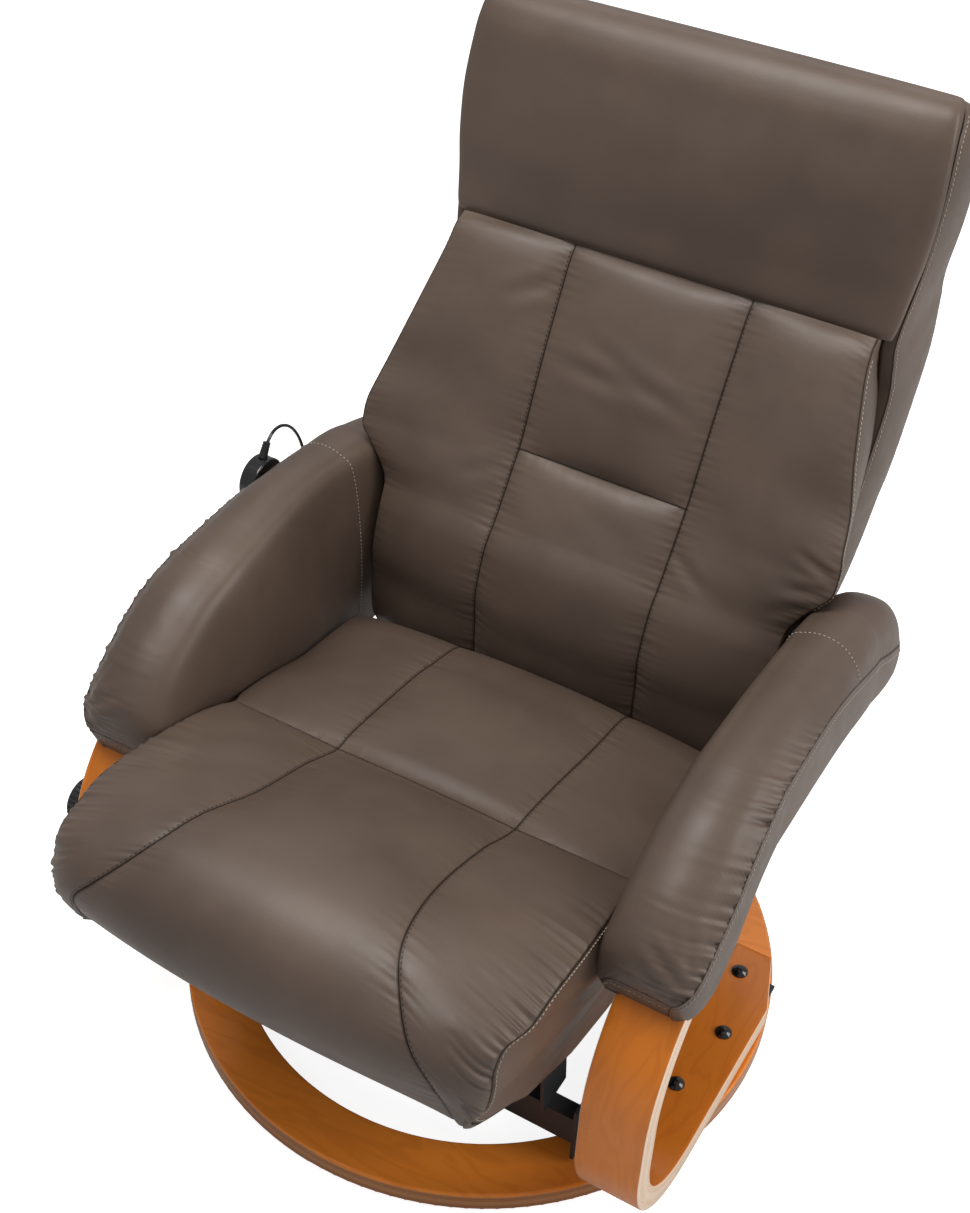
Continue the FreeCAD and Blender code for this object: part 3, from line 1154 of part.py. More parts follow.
def make_button(y, z):
    """Round button: a cap through the casing and a flange that keeps it in."""
    top = HANDSET_X[0] - BUTTON_PROUD
    shape = rod((top, y, z), (1, 0, 0), BUTTON_RADIUS, BUTTON_FLANGE_X - top)
    shape = shape.makeFillet(1.0, [e for e in shape.Edges if e.BoundBox.XMax < top + 0.01])
    flange = rod((BUTTON_FLANGE_X, y, z), (1, 0, 0), BUTTON_HOLE + 1.0, 1.5)
    stem_start = BUTTON_FLANGE_X + 1.5
    stem = rod((stem_start, y, z), (1, 0, 0), 2.5, HANDSET_SPLIT - BUTTON_TRAVEL - 0.1 - stem_start)
    return shape.fuse(flange).fuse(stem).removeSplitter()


def relief_line():
    lean = math.radians(RELIEF_LEAN)
    return V(HANDSET_SPLIT, 98.5, 530.5), V(0, math.sin(lean), math.cos(lean))


def make_strain_relief():
    """Tapered sleeve with rings, at the top rear corner of the handset."""
    base, way = relief_line()
    start = base + way * 3.0
    shape = Part.makeCone(RELIEF_BASE, RELIEF_TIP - 0.8, RELIEF_LENGTH, start, way)
    for index in range(RELIEF_RINGS):
        share = (index + 0.5) / RELIEF_RINGS
        place = start + way * (RELIEF_LENGTH * share - 1.0)
        radius = RELIEF_BASE + (RELIEF_TIP - RELIEF_BASE) * share
        shape = shape.fuse(Part.makeCylinder(radius, 2.0, place, way))
    casing = handset_blank(0.0, HANDSET_X)
    shape = shape.cut(casing)
    neck = Part.makeCylinder(CORD_RADIUS + 1.0, 14.0, base - way * 8.0, way)
    shape = shape.fuse(neck)
    shape = shape.cut(Part.makeCylinder(CORD_RADIUS + CORD_CLEARANCE, 60.0, base - way * 20.0, way))
    narrow, wide = CORD_RADIUS + CORD_CLEARANCE, CORD_RADIUS + 4 * CORD_CLEARANCE
    mouth = Part.makeCone(narrow, wide, 8.0, base + way * 15.0, way)
    return shape.cut(mouth).removeSplitter()


def pocket_screw_line(y):
    start = POCKET_X[1] - POCKET_WALL
    return (start, y, POCKET_SCREW_Z)


def make_handset_pocket():
    """Open pocket whose taller back wall is screwed to the wood over a spacer block."""
    shape = rounded_plate(POCKET_Y, (POCKET_Z[0], POCKET_BACK_TOP), (6.0, 16.0), POCKET_X)
    inside = rounded_plate((POCKET_Y[0] + POCKET_WALL, POCKET_Y[1] - POCKET_WALL),
                           (POCKET_Z[0] + POCKET_WALL, POCKET_BACK_TOP + 40.0), (6.0, 14.0),
                           (POCKET_X[0] + POCKET_WALL, POCKET_X[1] - POCKET_WALL))
    shape = shape.cut(inside)
    shape = shape.cut(box((POCKET_X[0] - 1.0, POCKET_X[1] - POCKET_WALL), (0, 200.0), (POCKET_Z[1], 560.0)))
    shape = shape.fuse(box((POCKET_X[1], -WOOD_OUTER), POCKET_BLOCK_Y, POCKET_BLOCK_Z))
    return cut_pocket_screws(shape).removeSplitter()


def cut_pocket_screws(shape):
    for y in POCKET_SCREW_Y:
        shape = shape.cut(rod(pocket_screw_line(y), (1, 0, 0), POCKET_SCREW_RADIUS, POCKET_SCREW_LENGTH))
    return shape


def cord_route():
    base, way = relief_line()
    middle = BOX_Z + BOX_HEIGHT / 2
    x = HANDSET_SPLIT
    return [base + way * 5.0, base + way * 28.0, V(x - 2.5, 138.0, 556.0), V(x - 5.0, 166.0, 537.0),
            V(x - 8.0, 189.0, 498.0), V(x - 7.5, 197.0, 447.0), V(x - 6.0, 200.0, 395.0),
            V(x - 4.0, 197.0, 343.0), V(x + 1.0, 189.0, 295.0), V(x + 21.0, 174.0, 250.0),
            V(x + 59.0, 149.0, 213.0), V(-269.0, 113.0, 184.0), V(-233.0, 76.0, 158.0),
            V(-199.0, 51.0, 140.0), V(-155.0, 54.0, 128.0), V(-108.0, GLAND_Y, middle),
            V(-66.0, GLAND_Y, middle)]


def make_handset_cord():
    """Round cord along straight runs joined by tangent arcs."""
    route = cord_route()
    runs = [(b - a).Length for a, b in zip(route[:-1], route[1:])]
    edges = []
    here = route[0]
    radii = []
    for index in range(1, len(route) - 1):
        corner = route[index]
        before = (route[index - 1] - corner).normalize()
        after = (route[index + 1] - corner).normalize()
        half_turn = (math.pi - before.getAngle(after)) / 2
        cut = 0.45 * min(runs[index - 1], runs[index])
        radius = cut / math.tan(half_turn)
        radii.append(round(radius, 1))
        first, last = corner + before * cut, corner + after * cut
        inward = (before + after).normalize()
        depth = radius / math.cos(half_turn) - radius
        edges.append(Part.LineSegment(here, first).toShape())
        edges.append(Part.Arc(first, corner + inward * depth, last).toShape())
        here = last
    edges.append(Part.LineSegment(here, route[-1]).toShape())
    path = Part.Wire(edges)
    print("cord radii", radii, "runs", [round(run, 1) for run in runs], "length", round(path.Length, 1))
    heading = (route[1] - route[0]).normalize()
    ring = Part.Wire([Part.Circle(route[0], heading, CORD_RADIUS).toShape()])
    tube = path.makePipeShell([ring], True, False)
    print("cord volume share", round(tube.Volume / (math.pi * CORD_RADIUS ** 2 * path.Length), 4))
    return tube


save("base_ring", make_base_ring())
save("foot_beam", make_foot_beam())
save("foot_screws", make_foot_screws())
save("floor_glides", make_floor_glides())
save("swivel_spigot", make_swivel_spigot())
save("thrust_washer", make_thrust_washer())
save("swivel_retainer", make_swivel_retainer())
save("swivel_bushes", make_swivel_bushes())
save("swivel_hub", make_swivel_hub())
save("front_cross_tube", make_cross_tube(FRONT_TUBE_Y))
save("rear_cross_tube", make_cross_tube(REAR_TUBE_Y))
SIDE_FRAME = cut_arm_screws(make_side_frame(), ARM_SCREW_RADIUS)
save("side_frame_right", SIDE_FRAME)
save("side_frame_left", cut_pocket_screws(mirrored(SIDE_FRAME)))
PAIRS = {"side_bracket": make_side_bracket(),
         "arm_board": make_arm_board(), "arm_pad": make_arm_pad(), "hinge_plate": make_hinge_plate(),
         "seat_slider": make_seat_slider(), "side_plate": make_side_plate()}
for pair_name, pair_shape in PAIRS.items():
    save(pair_name + "_right", pair_shape)
    save(pair_name + "_left", mirrored(pair_shape))
save("seat_support_right", make_seat_support(False))
save("seat_support_left", mirrored(make_seat_support(True)))
save("frame_bolts", make_frame_bolts())
save("bolt_caps", make_bolt_caps())
save("wood_screws", make_wood_screws())
save("hinge_pins", make_hinge_pins())
save("hinge_bushes", make_hinge_bushes())
save("link_bar", make_link_bar())
save("back_frame", make_back_frame())
save("back_shell", make_back_shell())
save("back_board", make_back_board())
save("back_cushion", make_back_cushion())
save("back_motors", make_back_motors())
save("headrest_pad", make_headrest_pad())
save("seat_cushion", make_seat_cushion())
save("seat_frame", make_seat_frame())
save("seat_webbing", make_seat_webbing())
save("seat_motors", make_seat_motors())
save("lock_stud", make_lock_stud())
save("lock_knob", make_lock_knob())
save("control_box", make_control_box())
save("box_lid", make_box_lid())
save("cord_gland", make_cord_gland())
save("power_inlet", make_power_inlet())
save("handset_pocket", make_handset_pocket())
save("handset_outer", make_handset_half(True))
save("handset_inner", make_handset_half(False))
save("handset_board", make_circuit_board())
save("strain_relief", make_strain_relief())
for button_name, button_place in BUTTON_PLACES.items():
    save(button_name, make_button(*button_place))
save("handset_cord", make_handset_cord())
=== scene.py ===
import bpy
import json
import math
import numpy as np
from mathutils import Matrix, Vector


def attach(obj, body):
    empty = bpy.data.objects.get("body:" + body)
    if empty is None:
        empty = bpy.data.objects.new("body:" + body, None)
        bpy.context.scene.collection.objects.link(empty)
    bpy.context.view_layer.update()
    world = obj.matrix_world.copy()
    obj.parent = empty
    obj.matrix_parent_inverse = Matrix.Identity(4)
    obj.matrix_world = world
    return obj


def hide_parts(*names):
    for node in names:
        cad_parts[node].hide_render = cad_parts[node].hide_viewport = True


# Swivel recliner with sewn leather cushions, bentwood arms on a round base and a corded handset.
# Lengths in the shape tables are millimetres, but the cord's route and the meshes are in metres.

MM = 0.001
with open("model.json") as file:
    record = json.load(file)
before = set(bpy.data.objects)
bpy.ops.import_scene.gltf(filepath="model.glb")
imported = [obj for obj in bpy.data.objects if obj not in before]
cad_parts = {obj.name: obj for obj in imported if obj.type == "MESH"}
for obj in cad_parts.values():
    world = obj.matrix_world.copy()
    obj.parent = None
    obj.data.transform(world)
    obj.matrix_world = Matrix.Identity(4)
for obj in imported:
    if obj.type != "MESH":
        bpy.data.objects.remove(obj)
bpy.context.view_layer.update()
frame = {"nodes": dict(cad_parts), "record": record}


# Objects and shader nodes

def place_object(name, data):
    placed = bpy.data.objects.new(name, data)
    bpy.context.scene.collection.objects.link(placed)
    return placed


def start_material(name):
    material = bpy.data.materials.new(name)
    material.use_nodes = True
    return material, material.node_tree, material.node_tree.nodes["Principled BSDF"]


def feed(tree, node, values):
    """Inputs by name or number take numbers, colours or other nodes' outputs."""
    for place, value in values.items():
        if isinstance(value, bpy.types.NodeSocket):
            tree.links.new(value, node.inputs[place])
        else:
            node.inputs[place].default_value = (*value, 1) if isinstance(value, tuple) else value


def add_node(tree, kind, values=None, **settings):
    node = tree.nodes.new("ShaderNode" + kind)
    for name, setting in settings.items():
        setattr(node, name, setting)
    feed(tree, node, values or {})
    return node


def maths(tree, operation, first, second=0.0, clamp=False):
    return add_node(tree, "Math", {0: first, 1: second}, operation=operation, use_clamp=clamp).outputs[0]


def product(tree, first, second):
    return maths(tree, "MULTIPLY", first, second)


def blend_colour(tree, factor, first, second):
    return add_node(tree, "Mix", {0: factor, 6: first, 7: second}, data_type="RGBA").outputs[2]


def noise(tree, *values):
    names = ("Vector", "Scale", "Detail", "Roughness", "Distortion")
    return add_node(tree, "TexNoise", dict(zip(names, values))).outputs["Fac"]


def ramp(tree, value, low, high):
    """Straight ramp from 0 at low to 1 at high, held at its ends."""
    return add_node(tree, "MapRange", {"Value": value, "From Min": low, "From Max": high}).outputs["Result"]


def object_point(tree):
    return add_node(tree, "TexCoord").outputs["Object"]


def point_parts(tree):
    return add_node(tree, "SeparateXYZ", {0: object_point(tree)}).outputs


def stretched(tree, along, across, length_scale, width_scale):
    """Place along and across the grain, each by its own scale."""
    return add_node(tree, "CombineXYZ", {"X": product(tree, along, length_scale),
                                         "Y": product(tree, across, width_scale)}).outputs[0]


def attribute(tree, name):
    return add_node(tree, "Attribute", attribute_name=name).outputs["Fac"]


def camera_ray(tree):
    return add_node(tree, "LightPath").outputs["Is Camera Ray"]


# Camera, lamps and floor

CAMERA_PLACE = (0.6650, -1.2482, 1.7426)
CAMERA_AZIMUTH = math.radians(28.612)
CAMERA_ELEVATION = math.radians(40.142)
CAMERA_ROLL = math.radians(2.656)
CAMERA_LENS = 53.85
CAMERA_SENSOR = 36.0
CAMERA_REACH = 50.0
LAMPS = {
    "key_lamp": ((-0.35, -0.35, 3.15), (0, 0, 0.5), (1.7, 1.7), 63.0, (1.0, 0.97, 0.93)),
    "side_lamp": ((2.3, 0.6, 1.7), (0.1, 0, 0.5), (1.2, 1.8), 34.0, (1.0, 0.955, 0.90)),
    "back_lamp": ((-0.4, 2.1, 2.3), (0, 0.2, 0.8), (2.0, 0.8), 5.0, (0.96, 0.98, 1.0))}
WHITE = (1.0, 1.0, 1.0)
WORLD_TINT = (0.98, 0.97, 1.0)
WORLD_LIGHT = 0.36
FLOOR_HALF = 9.0
FLOOR_GREY = (0.72, 0.72, 0.72)
FLOOR_ROUGHNESS = 0.9
FLOOR_GLOW = 0.86


def make_camera():
    """Camera that looks from an azimuth and elevation, turned by a roll about its line of sight."""
    data = bpy.data.cameras.new("camera")
    data.lens = CAMERA_LENS
    data.sensor_width = CAMERA_SENSOR
    data.clip_end = CAMERA_REACH
    flat = math.cos(CAMERA_ELEVATION)
    back = Vector((math.sin(CAMERA_AZIMUTH) * flat, -math.cos(CAMERA_AZIMUTH) * flat,
                   math.sin(CAMERA_ELEVATION)))
    right = (-back).cross(Vector((0, 0, 1))).normalized()
    up = right.cross(-back)
    side = math.cos(CAMERA_ROLL) * right + math.sin(CAMERA_ROLL) * up
    top = -math.sin(CAMERA_ROLL) * right + math.cos(CAMERA_ROLL) * up
    turn = Matrix((side, top, back)).transposed()
    camera = place_object("camera", data)
    camera.matrix_world = Matrix.Translation(CAMERA_PLACE) @ turn.to_4x4()
    bpy.context.scene.camera = camera


def make_lamp(name, place, target, size, power, colour):
    data = bpy.data.lights.new(name, "AREA")
    data.shape = "RECTANGLE"
    data.size, data.size_y = size
    data.energy = power
    data.color = colour
    lamp = place_object(name, data)
    lamp.location = place
    lamp.rotation_euler = (Vector(target) - Vector(place)).to_track_quat("-Z", "Y").to_euler()


def make_world():
    """White to the camera, and a faint even light to everything else."""
    world = bpy.data.worlds.new("studio")
    bpy.context.scene.world = world
    world.use_nodes = True
    tree = world.node_tree
    tree.nodes.clear()
    seen = add_node(tree, "Background", {"Color": WHITE, "Strength": 1.0})
    light = add_node(tree, "Background", {"Color": WORLD_TINT, "Strength": WORLD_LIGHT})
    mix = add_node(tree, "MixShader", {0: camera_ray(tree), 1: light.outputs[0], 2: seen.outputs[0]})
    add_node(tree, "OutputWorld", {"Surface": mix.outputs[0]})


def make_floor():
    """Pale square that keeps the shadow, with a glow only the camera sees."""
    mesh = bpy.data.meshes.new("floor")
    corners = [(x * FLOOR_HALF, y * FLOOR_HALF, 0) for x, y in ((-1, -1), (1, -1), (1, 1), (-1, 1))]
    mesh.from_pydata(corners, [], [(0, 1, 2, 3)])
    material, tree, shade = start_material("floor_paper")
    feed(tree, shade, {"Base Color": FLOOR_GREY, "Roughness": FLOOR_ROUGHNESS})
    dark, glow = (add_node(tree, "Emission", {"Strength": power}) for power in (0.0, FLOOR_GLOW))
    gate = add_node(tree, "MixShader", {0: camera_ray(tree), 1: dark.outputs[0], 2: glow.outputs[0]})
    both = add_node(tree, "AddShader", {0: shade.outputs[0], 1: gate.outputs[0]})
    feed(tree, tree.nodes["Material Output"], {"Surface": both.outputs[0]})
    mesh.materials.append(material)
    place_object("floor", mesh)


# Materials

WEAR_INPUTS = ("Colour", "Cloud", "Cloud Scale", "Roughness", "Grain Scale")
WEAR_OUTPUTS = ("Colour", "Roughness", "Height")
HIDE = (0.101, 0.0715, 0.0545)
# Near-black colour mixed in along the seams: painted shade in the seam valleys
SEAM_PAINTED_SHADE = (0.006, 0.004, 0.003)
HONEY = ((0.70, 0.205, 0.020), (0.50, 0.13, 0.012))
# Brighter copy of the honey for the ring: painted light standing in for the light that reaches it under the
# seat
RING_HONEY_PAINTED_LIGHT = ((1.0, 0.31, 0.040), (0.74, 0.19, 0.020))
RAW_BIRCH = ((0.55, 0.40, 0.24), (0.42, 0.28, 0.15))
PLY_THICKNESS = 0.0034
# Pale birch ply edges of the side frames, whitened further as a painted highlight
PALE_PLIES_AND_HIGHLIGHT = ((0.86, 0.62, 0.42), (0.92, 0.74, 0.56), (0.82, 0.58, 0.38))
STAINED_PLIES = ((0.46, 0.19, 0.07), (0.60, 0.29, 0.12), (0.25, 0.09, 0.03))
ELASTIC = ((0.012, 0.012, 0.014), (0.05, 0.05, 0.055))


def make_surface_wear():
    """Group that clouds a colour, dulls it in patches and gives a fine height."""
    group = bpy.data.node_groups.new("surface_wear", "ShaderNodeTree")
    for way, names in (("INPUT", WEAR_INPUTS), ("OUTPUT", WEAR_OUTPUTS)):
        for name in names:
            kind = "NodeSocketColor" if name == "Colour" else "NodeSocketFloat"
            group.interface.new_socket(name=name, in_out=way, socket_type=kind)
    entry = group.nodes.new("NodeGroupInput").outputs
    leave = group.nodes.new("NodeGroupOutput")
    point = object_point(group)
    cloud = noise(group, point, entry["Cloud Scale"], 4.0, 0.6)
    fine = noise(group, point, entry["Grain Scale"], 2.0)
    patch = maths(group, "SUBTRACT", cloud, 0.5)
    shade = maths(group, "ADD", product(group, patch, entry["Cloud"]), 1.0)
    tint = add_node(group, "VectorMath", {0: entry["Colour"], "Scale": shade}, operation="SCALE")
    speck = product(group, maths(group, "SUBTRACT", fine, 0.5), 0.1)
    dull = maths(group, "ADD", product(group, patch, 0.25), speck)
    rough = maths(group, "ADD", entry["Roughness"], dull, True)
    feed(group, leave, {"Colour": tint.outputs[0], "Roughness": rough, "Height": fine})
    return group


SURFACE_WEAR = make_surface_wear()


def worn(tree, *values):
    """Surface wear in a material, with a value for each of its inputs in turn."""
    return add_node(tree, "Group", dict(zip(WEAR_INPUTS, values)), node_tree=SURFACE_WEAR).outputs


def dressed(tree, shade, wear, height, strength, distance=0.0004):
    """Worn colour and gloss on the surface, and a bump by the height."""
    bump = add_node(tree, "Bump", {"Strength": strength, "Distance": distance, "Height": height})
    feed(tree, shade, {"Base Color": wear["Colour"], "Roughness": wear["Roughness"],
                       "Normal": bump.outputs["Normal"]})


def plain_finish(name, colour, roughness, cloud, cloud_scale, grain, depth, coat=0.0, metallic=0.0):
    """Moulded, painted or plated finish with clouding, uneven gloss and a fine bump."""
    material, tree, shade = start_material(name)
    wear = worn(tree, colour, cloud, cloud_scale, roughness, grain)
    dressed(tree, shade, wear, wear["Height"], depth)
    feed(tree, shade, {"Metallic": metallic, "Coat Weight": coat, "Coat Roughness": 0.08})
    return material


def scaled(colour, factor):
    return tuple(part * factor for part in colour)


def leather_finish():
    """Smooth coated hide: pebbled grain of about a millimetre, soft creases and painted shade that darkens
    the seam valleys and dims their gloss.
    """
    material, tree, shade = start_material("taupe_leather")
    point = object_point(tree)
    seam = attribute(tree, "seam")
    patches = ramp(tree, noise(tree, point, 6.0, 2.0), 0.3, 0.7)
    hide = blend_colour(tree, patches, scaled(HIDE, 0.80), scaled(HIDE, 1.16))
    # Painted shade: the seam mask darkens the hide towards near black here and dims its gloss below
    hide = blend_colour(tree, maths(tree, "POWER", seam, 1.4), hide, SEAM_PAINTED_SHADE)
    gloss = product(tree, maths(tree, "SUBTRACT", 1.0, seam), 0.42)
    feed(tree, shade, {"Specular IOR Level": gloss, "Coat Weight": 0.04, "Coat Roughness": 0.35})
    pebbles = add_node(tree, "TexVoronoi", {"Scale": 820.0, "Vector": point}).outputs["Distance"]
    creases = noise(tree, point, 60.0, 4.0, 0.6, 0.6)
    grain = maths(tree, "ADD", product(tree, pebbles, 0.35), product(tree, creases, 1.2))
    dressed(tree, shade, worn(tree, hide, 0.14, 38.0, 0.45, 1500.0), grain, 0.22, 0.0006)
    return material


def veneer_colour(tree, along, across, tones):
    """Honey birch figure: wavy contour lines drawn out along the grain, fine pores and slow cloud."""
    light, dark = tones
    figure = stretched(tree, along, across, 5.0, 20.0)
    pores = stretched(tree, along, across, 40.0, 900.0)
    swirl = noise(tree, figure, 1.3, 3.0, 0.45, 0.5)
    line = ramp(tree, maths(tree, "SINE", product(tree, swirl, 40.0)), 0.0, 1.0)
    fleck = ramp(tree, noise(tree, pores, 1.0, 2.0), 0.45, 0.75)
    slow = ramp(tree, noise(tree, figure, 0.5, 2.0), 0.3, 0.7)
    wood = blend_colour(tree, product(tree, line, 0.35), light, dark)
    wood = blend_colour(tree, product(tree, fleck, 0.12), wood, scaled(dark, 0.8))
    return blend_colour(tree, product(tree, slow, 0.3), wood, scaled(light, 1.15))


def ply_colour(tree, depth, tones):
    """Stacked veneers seen on a cut edge: pale and pinkish layers between thin brown glue lines."""
    darker, lighter, line = tones
    layer = maths(tree, "DIVIDE", depth, PLY_THICKNESS)
    wave = maths(tree, "SINE", product(tree, layer, math.pi))
    band = maths(tree, "SINE", maths(tree, "ADD", product(tree, layer, math.pi / 2), 0.6))
    wood = blend_colour(tree, ramp(tree, band, -0.7, 0.7), darker, lighter)
    return blend_colour(tree, ramp(tree, maths(tree, "ABSOLUTE", wave), 0.0, 0.4), line, wood)


def lacquer(tree, shade, colour, height):
    """Clear satin coat over stained wood."""
    feed(tree, shade, {"Specular IOR Level": 0.25, "Coat Weight": 0.22, "Coat Roughness": 0.16})
    dressed(tree, shade, worn(tree, colour, 0.1, 14.0, 0.24, 500.0), height, 0.08)


def bent_wood_finish():
    """Veneer on the broad faces and pale birch plies on the edges, whitened further as a painted highlight,
    by the band's along, depth and edge attributes.
    """
    material, tree, shade = start_material("honey_birch")
    along, depth, edge = (attribute(tree, name) for name in ("along", "depth", "edge"))
    face = veneer_colour(tree, along, point_parts(tree)["X"], HONEY)
    # Pale plies, whitened partly as a painted highlight
    plies = ply_colour(tree, depth, PALE_PLIES_AND_HIGHLIGHT)
    lacquer(tree, shade, blend_colour(tree, ramp(tree, edge, 0.35, 0.65), face, plies), depth)
    return material


def ring_finish():
    """Round base: veneer above and below, painted brighter than the frames' veneer as painted light, and
    plies round the rim by height.
    """
    material, tree, shade = start_material("honey_ring")
    point = point_parts(tree)
    facing = add_node(tree, "SeparateXYZ", {0: add_node(tree, "NewGeometry").outputs["Normal"]})
    # Veneer painted brighter than the side frames' as painted light
    face = veneer_colour(tree, point["X"], point["Y"], RING_HONEY_PAINTED_LIGHT)
    plies = ply_colour(tree, point["Z"], STAINED_PLIES)
    upward = ramp(tree, maths(tree, "ABSOLUTE", facing.outputs["Z"]), 0.3, 0.7)
    lacquer(tree, shade, blend_colour(tree, upward, plies, face), point["Z"])
    return material


def plywood_finish():
    """Bare birch plywood of the hidden boards."""
    material, tree, shade = start_material("raw_plywood")
    point = point_parts(tree)
    wear = worn(tree, veneer_colour(tree, point["Y"], point["X"], RAW_BIRCH), 0.2, 10.0, 0.65, 600.0)
    dressed(tree, shade, wear, wear["Height"], 0.2)
    return material


def webbing_finish():
    """Woven elastic: two crossed sets of fine ribs."""
    material, tree, shade = start_material("elastic_webbing")
    point = point_parts(tree)
    ribs, cross = (maths(tree, "SINE", product(tree, point[axis], count))
                   for axis, count in (("Y", 2600.0), ("X", 3400.0)))
    weave = product(tree, ribs, cross)
    colour = blend_colour(tree, ramp(tree, weave, -1.0, 1.0), *ELASTIC)
    dressed(tree, shade, worn(tree, colour, 0.2, 20.0, 0.8, 800.0), weave, 0.5, 0.0005)
    return material


LEATHER = leather_finish()
BENT_WOOD = bent_wood_finish()
RING_WOOD = ring_finish()
PLYWOOD = plywood_finish()
WEBBING = webbing_finish()
BLACK_STEEL = plain_finish("satin_black_steel", (0.022, 0.024, 0.027), 0.42, 0.3, 10.0, 700.0, 0.25)
PLATED_STEEL = plain_finish("zinc_plated_steel", (0.55, 0.55, 0.56), 0.32, 0.25, 40.0, 1100.0, 0.15, 0.0, 1.0)
NYLON = plain_finish("white_nylon", (0.72, 0.71, 0.67), 0.5, 0.1, 25.0, 500.0, 0.2)
BLACK_PLASTIC = plain_finish("black_plastic", (0.013, 0.013, 0.014), 0.42, 0.3, 20.0, 1300.0, 0.5)
GLOSS_PLASTIC = plain_finish("gloss_black_plastic", (0.008, 0.008, 0.009), 0.16, 0.2, 20.0, 900.0, 0.05, 0.6)
BUTTON_PLASTIC = plain_finish("grey_button_plastic", (0.16, 0.17, 0.18), 0.5, 0.15, 60.0, 1500.0, 0.3)
RUBBER = plain_finish("black_rubber", (0.012, 0.012, 0.012), 0.55, 0.3, 30.0, 1200.0, 0.4)
CORD_RUBBER = plain_finish("cord_jacket", (0.008, 0.008, 0.009), 0.28, 0.2, 30.0, 900.0, 0.1, 0.3)
CIRCUIT = plain_finish("circuit_lacquer", (0.02, 0.11, 0.045), 0.3, 0.3, 120.0, 500.0, 0.2, 0.4)
DARK_THREAD = plain_finish("dark_thread", (0.018, 0.013, 0.010), 0.6, 0.2, 80.0, 2500.0, 0.4)
PALE_THREAD = plain_finish("tan_thread", (0.42, 0.36, 0.29), 0.6, 0.2, 80.0, 2500.0, 0.4)

NODE_FINISHES = {
    "base_ring": RING_WOOD, "arm_board_left": PLYWOOD, "arm_board_right": PLYWOOD, "back_board": PLYWOOD,
    "seat_webbing": WEBBING, "handset_board": CIRCUIT, "floor_glides": RUBBER, "strain_relief": RUBBER,
    "thrust_washer": NYLON, "swivel_bushes": NYLON, "hinge_bushes": NYLON, "bolt_caps": GLOSS_PLASTIC,
    "handset_outer": GLOSS_PLASTIC, "handset_inner": GLOSS_PLASTIC, "power_inlet": GLOSS_PLASTIC}
SLOT_FINISHES = {
    "black_steel": BLACK_STEEL, "plated_steel": PLATED_STEEL, "black_plastic": BLACK_PLASTIC,
    "grey_buttons": BUTTON_PLASTIC}


def dress_nodes():
    """Every solid that stays in view gets its finish, by node or by its material slot."""
    for entry in frame["record"]["subparts"]:
        node = frame["nodes"][entry["node"]]
        finish = NODE_FINISHES.get(entry["node"]) or SLOT_FINISHES.get(entry["material_slot"])
        if finish and not node.material_slots:
            node.data.materials.append(finish)
        if finish:
            for slot in node.material_slots:
                slot.material = finish


# Shape tools

MIRROR = np.array([-1.0, 1.0, 1.0])


def unit(vectors):
    """Each vector divided by its own length."""
    return vectors / np.maximum(np.linalg.norm(vectors, axis=-1, keepdims=True), 1e-9)


def with_ends(keys):
    """Keys with one more at each end, a straight step further on."""
    return np.concatenate([2 * keys[:1] - keys[1:2], keys, 2 * keys[-1:] - keys[-2:-1]])


def cubic(four, share):
    """Cubic from the second of four keys to the third, whose end slopes are half the step across each."""
    a, b, c, d = four
    return 0.5 * (2 * b + (c - a) * share + (2 * a - 5 * b + 4 * c - d) * share ** 2
                  + (3 * b - a - 3 * c + d) * share ** 3)


def through(keys, steps):
    """Smooth curve through rows of keys, in even steps from each to the next."""
    ends = with_ends(keys)
    share = (np.arange(steps) / steps)[None, :, None]
    rows = cubic((ends[i:len(keys) - 1 + i][:, None, :] for i in range(4)), share)
    return np.vstack([rows.reshape(-1, keys.shape[1]), keys[-1:]])


def run_lengths(points, axis=0):
    """Lengths along lines of places, from 0 at the first."""
    steps = np.linalg.norm(np.diff(points, axis=axis), axis=-1)
    return np.insert(np.cumsum(steps, axis=axis), 0, 0, axis=axis)


def ripple(place, seed, wavelength):
    """Uneven wave along a seam: the sum of five sines of spread wavelengths and fixed random phases."""
    rng = np.random.default_rng(seed)
    total = np.zeros_like(place)
    for spread in (0.55, 0.8, 1.0, 1.45, 2.2):
        total += np.sin(2 * np.pi * place / (wavelength * spread) + rng.uniform(0, 6.28))
    return total / 3.2


def undulation(x, y, seed, wavelength):
    """Slow uneven surface: the sum of six plane waves of spread directions and wavelengths."""
    rng = np.random.default_rng(seed)
    total = np.zeros(np.broadcast(x, y).shape)
    for _ in range(6):
        turn, phase = rng.uniform(0, 6.28, 2)
        reach = wavelength * rng.uniform(0.7, 1.5)
        total += np.sin(2 * np.pi * (x * math.cos(turn) + y * math.sin(turn)) / reach + phase)
    return total / 3.5


def surface_normals(points, closed):
    """Unit normals of a grid, from the differences along its rows and its columns."""
    around = (np.roll(points, -1, axis=1) - np.roll(points, 1, axis=1)) / 2
    across = around if closed else np.gradient(points, axis=1)
    return unit(np.cross(np.gradient(points, axis=0), across))


def make_mesh(name, places, faces):
    mesh = bpy.data.meshes.new(name)
    mesh.from_pydata((places * MM).tolist(), [], faces)
    mesh.update()
    return mesh


def tube_mesh(name, points, centre):
    """Mesh on a grid of places in millimetres, its last column joined to its first and a face over each
    end, turned so that the faces look away from the centre."""
    index = np.arange(points.shape[0] * points.shape[1]).reshape(points.shape[:2])
    after = np.roll(index, -1, axis=1)
    quads = np.stack([index[:-1], after[:-1], after[1:], index[1:]], axis=-1).reshape(-1, 4)
    faces = quads.tolist() + [index[0, ::-1].tolist(), index[-1].tolist()]
    if np.sum(surface_normals(points, True) * (points - centre)) <= 0:
        faces = [face[::-1] for face in faces]
    return make_mesh(name, points.reshape(-1, 3), faces)


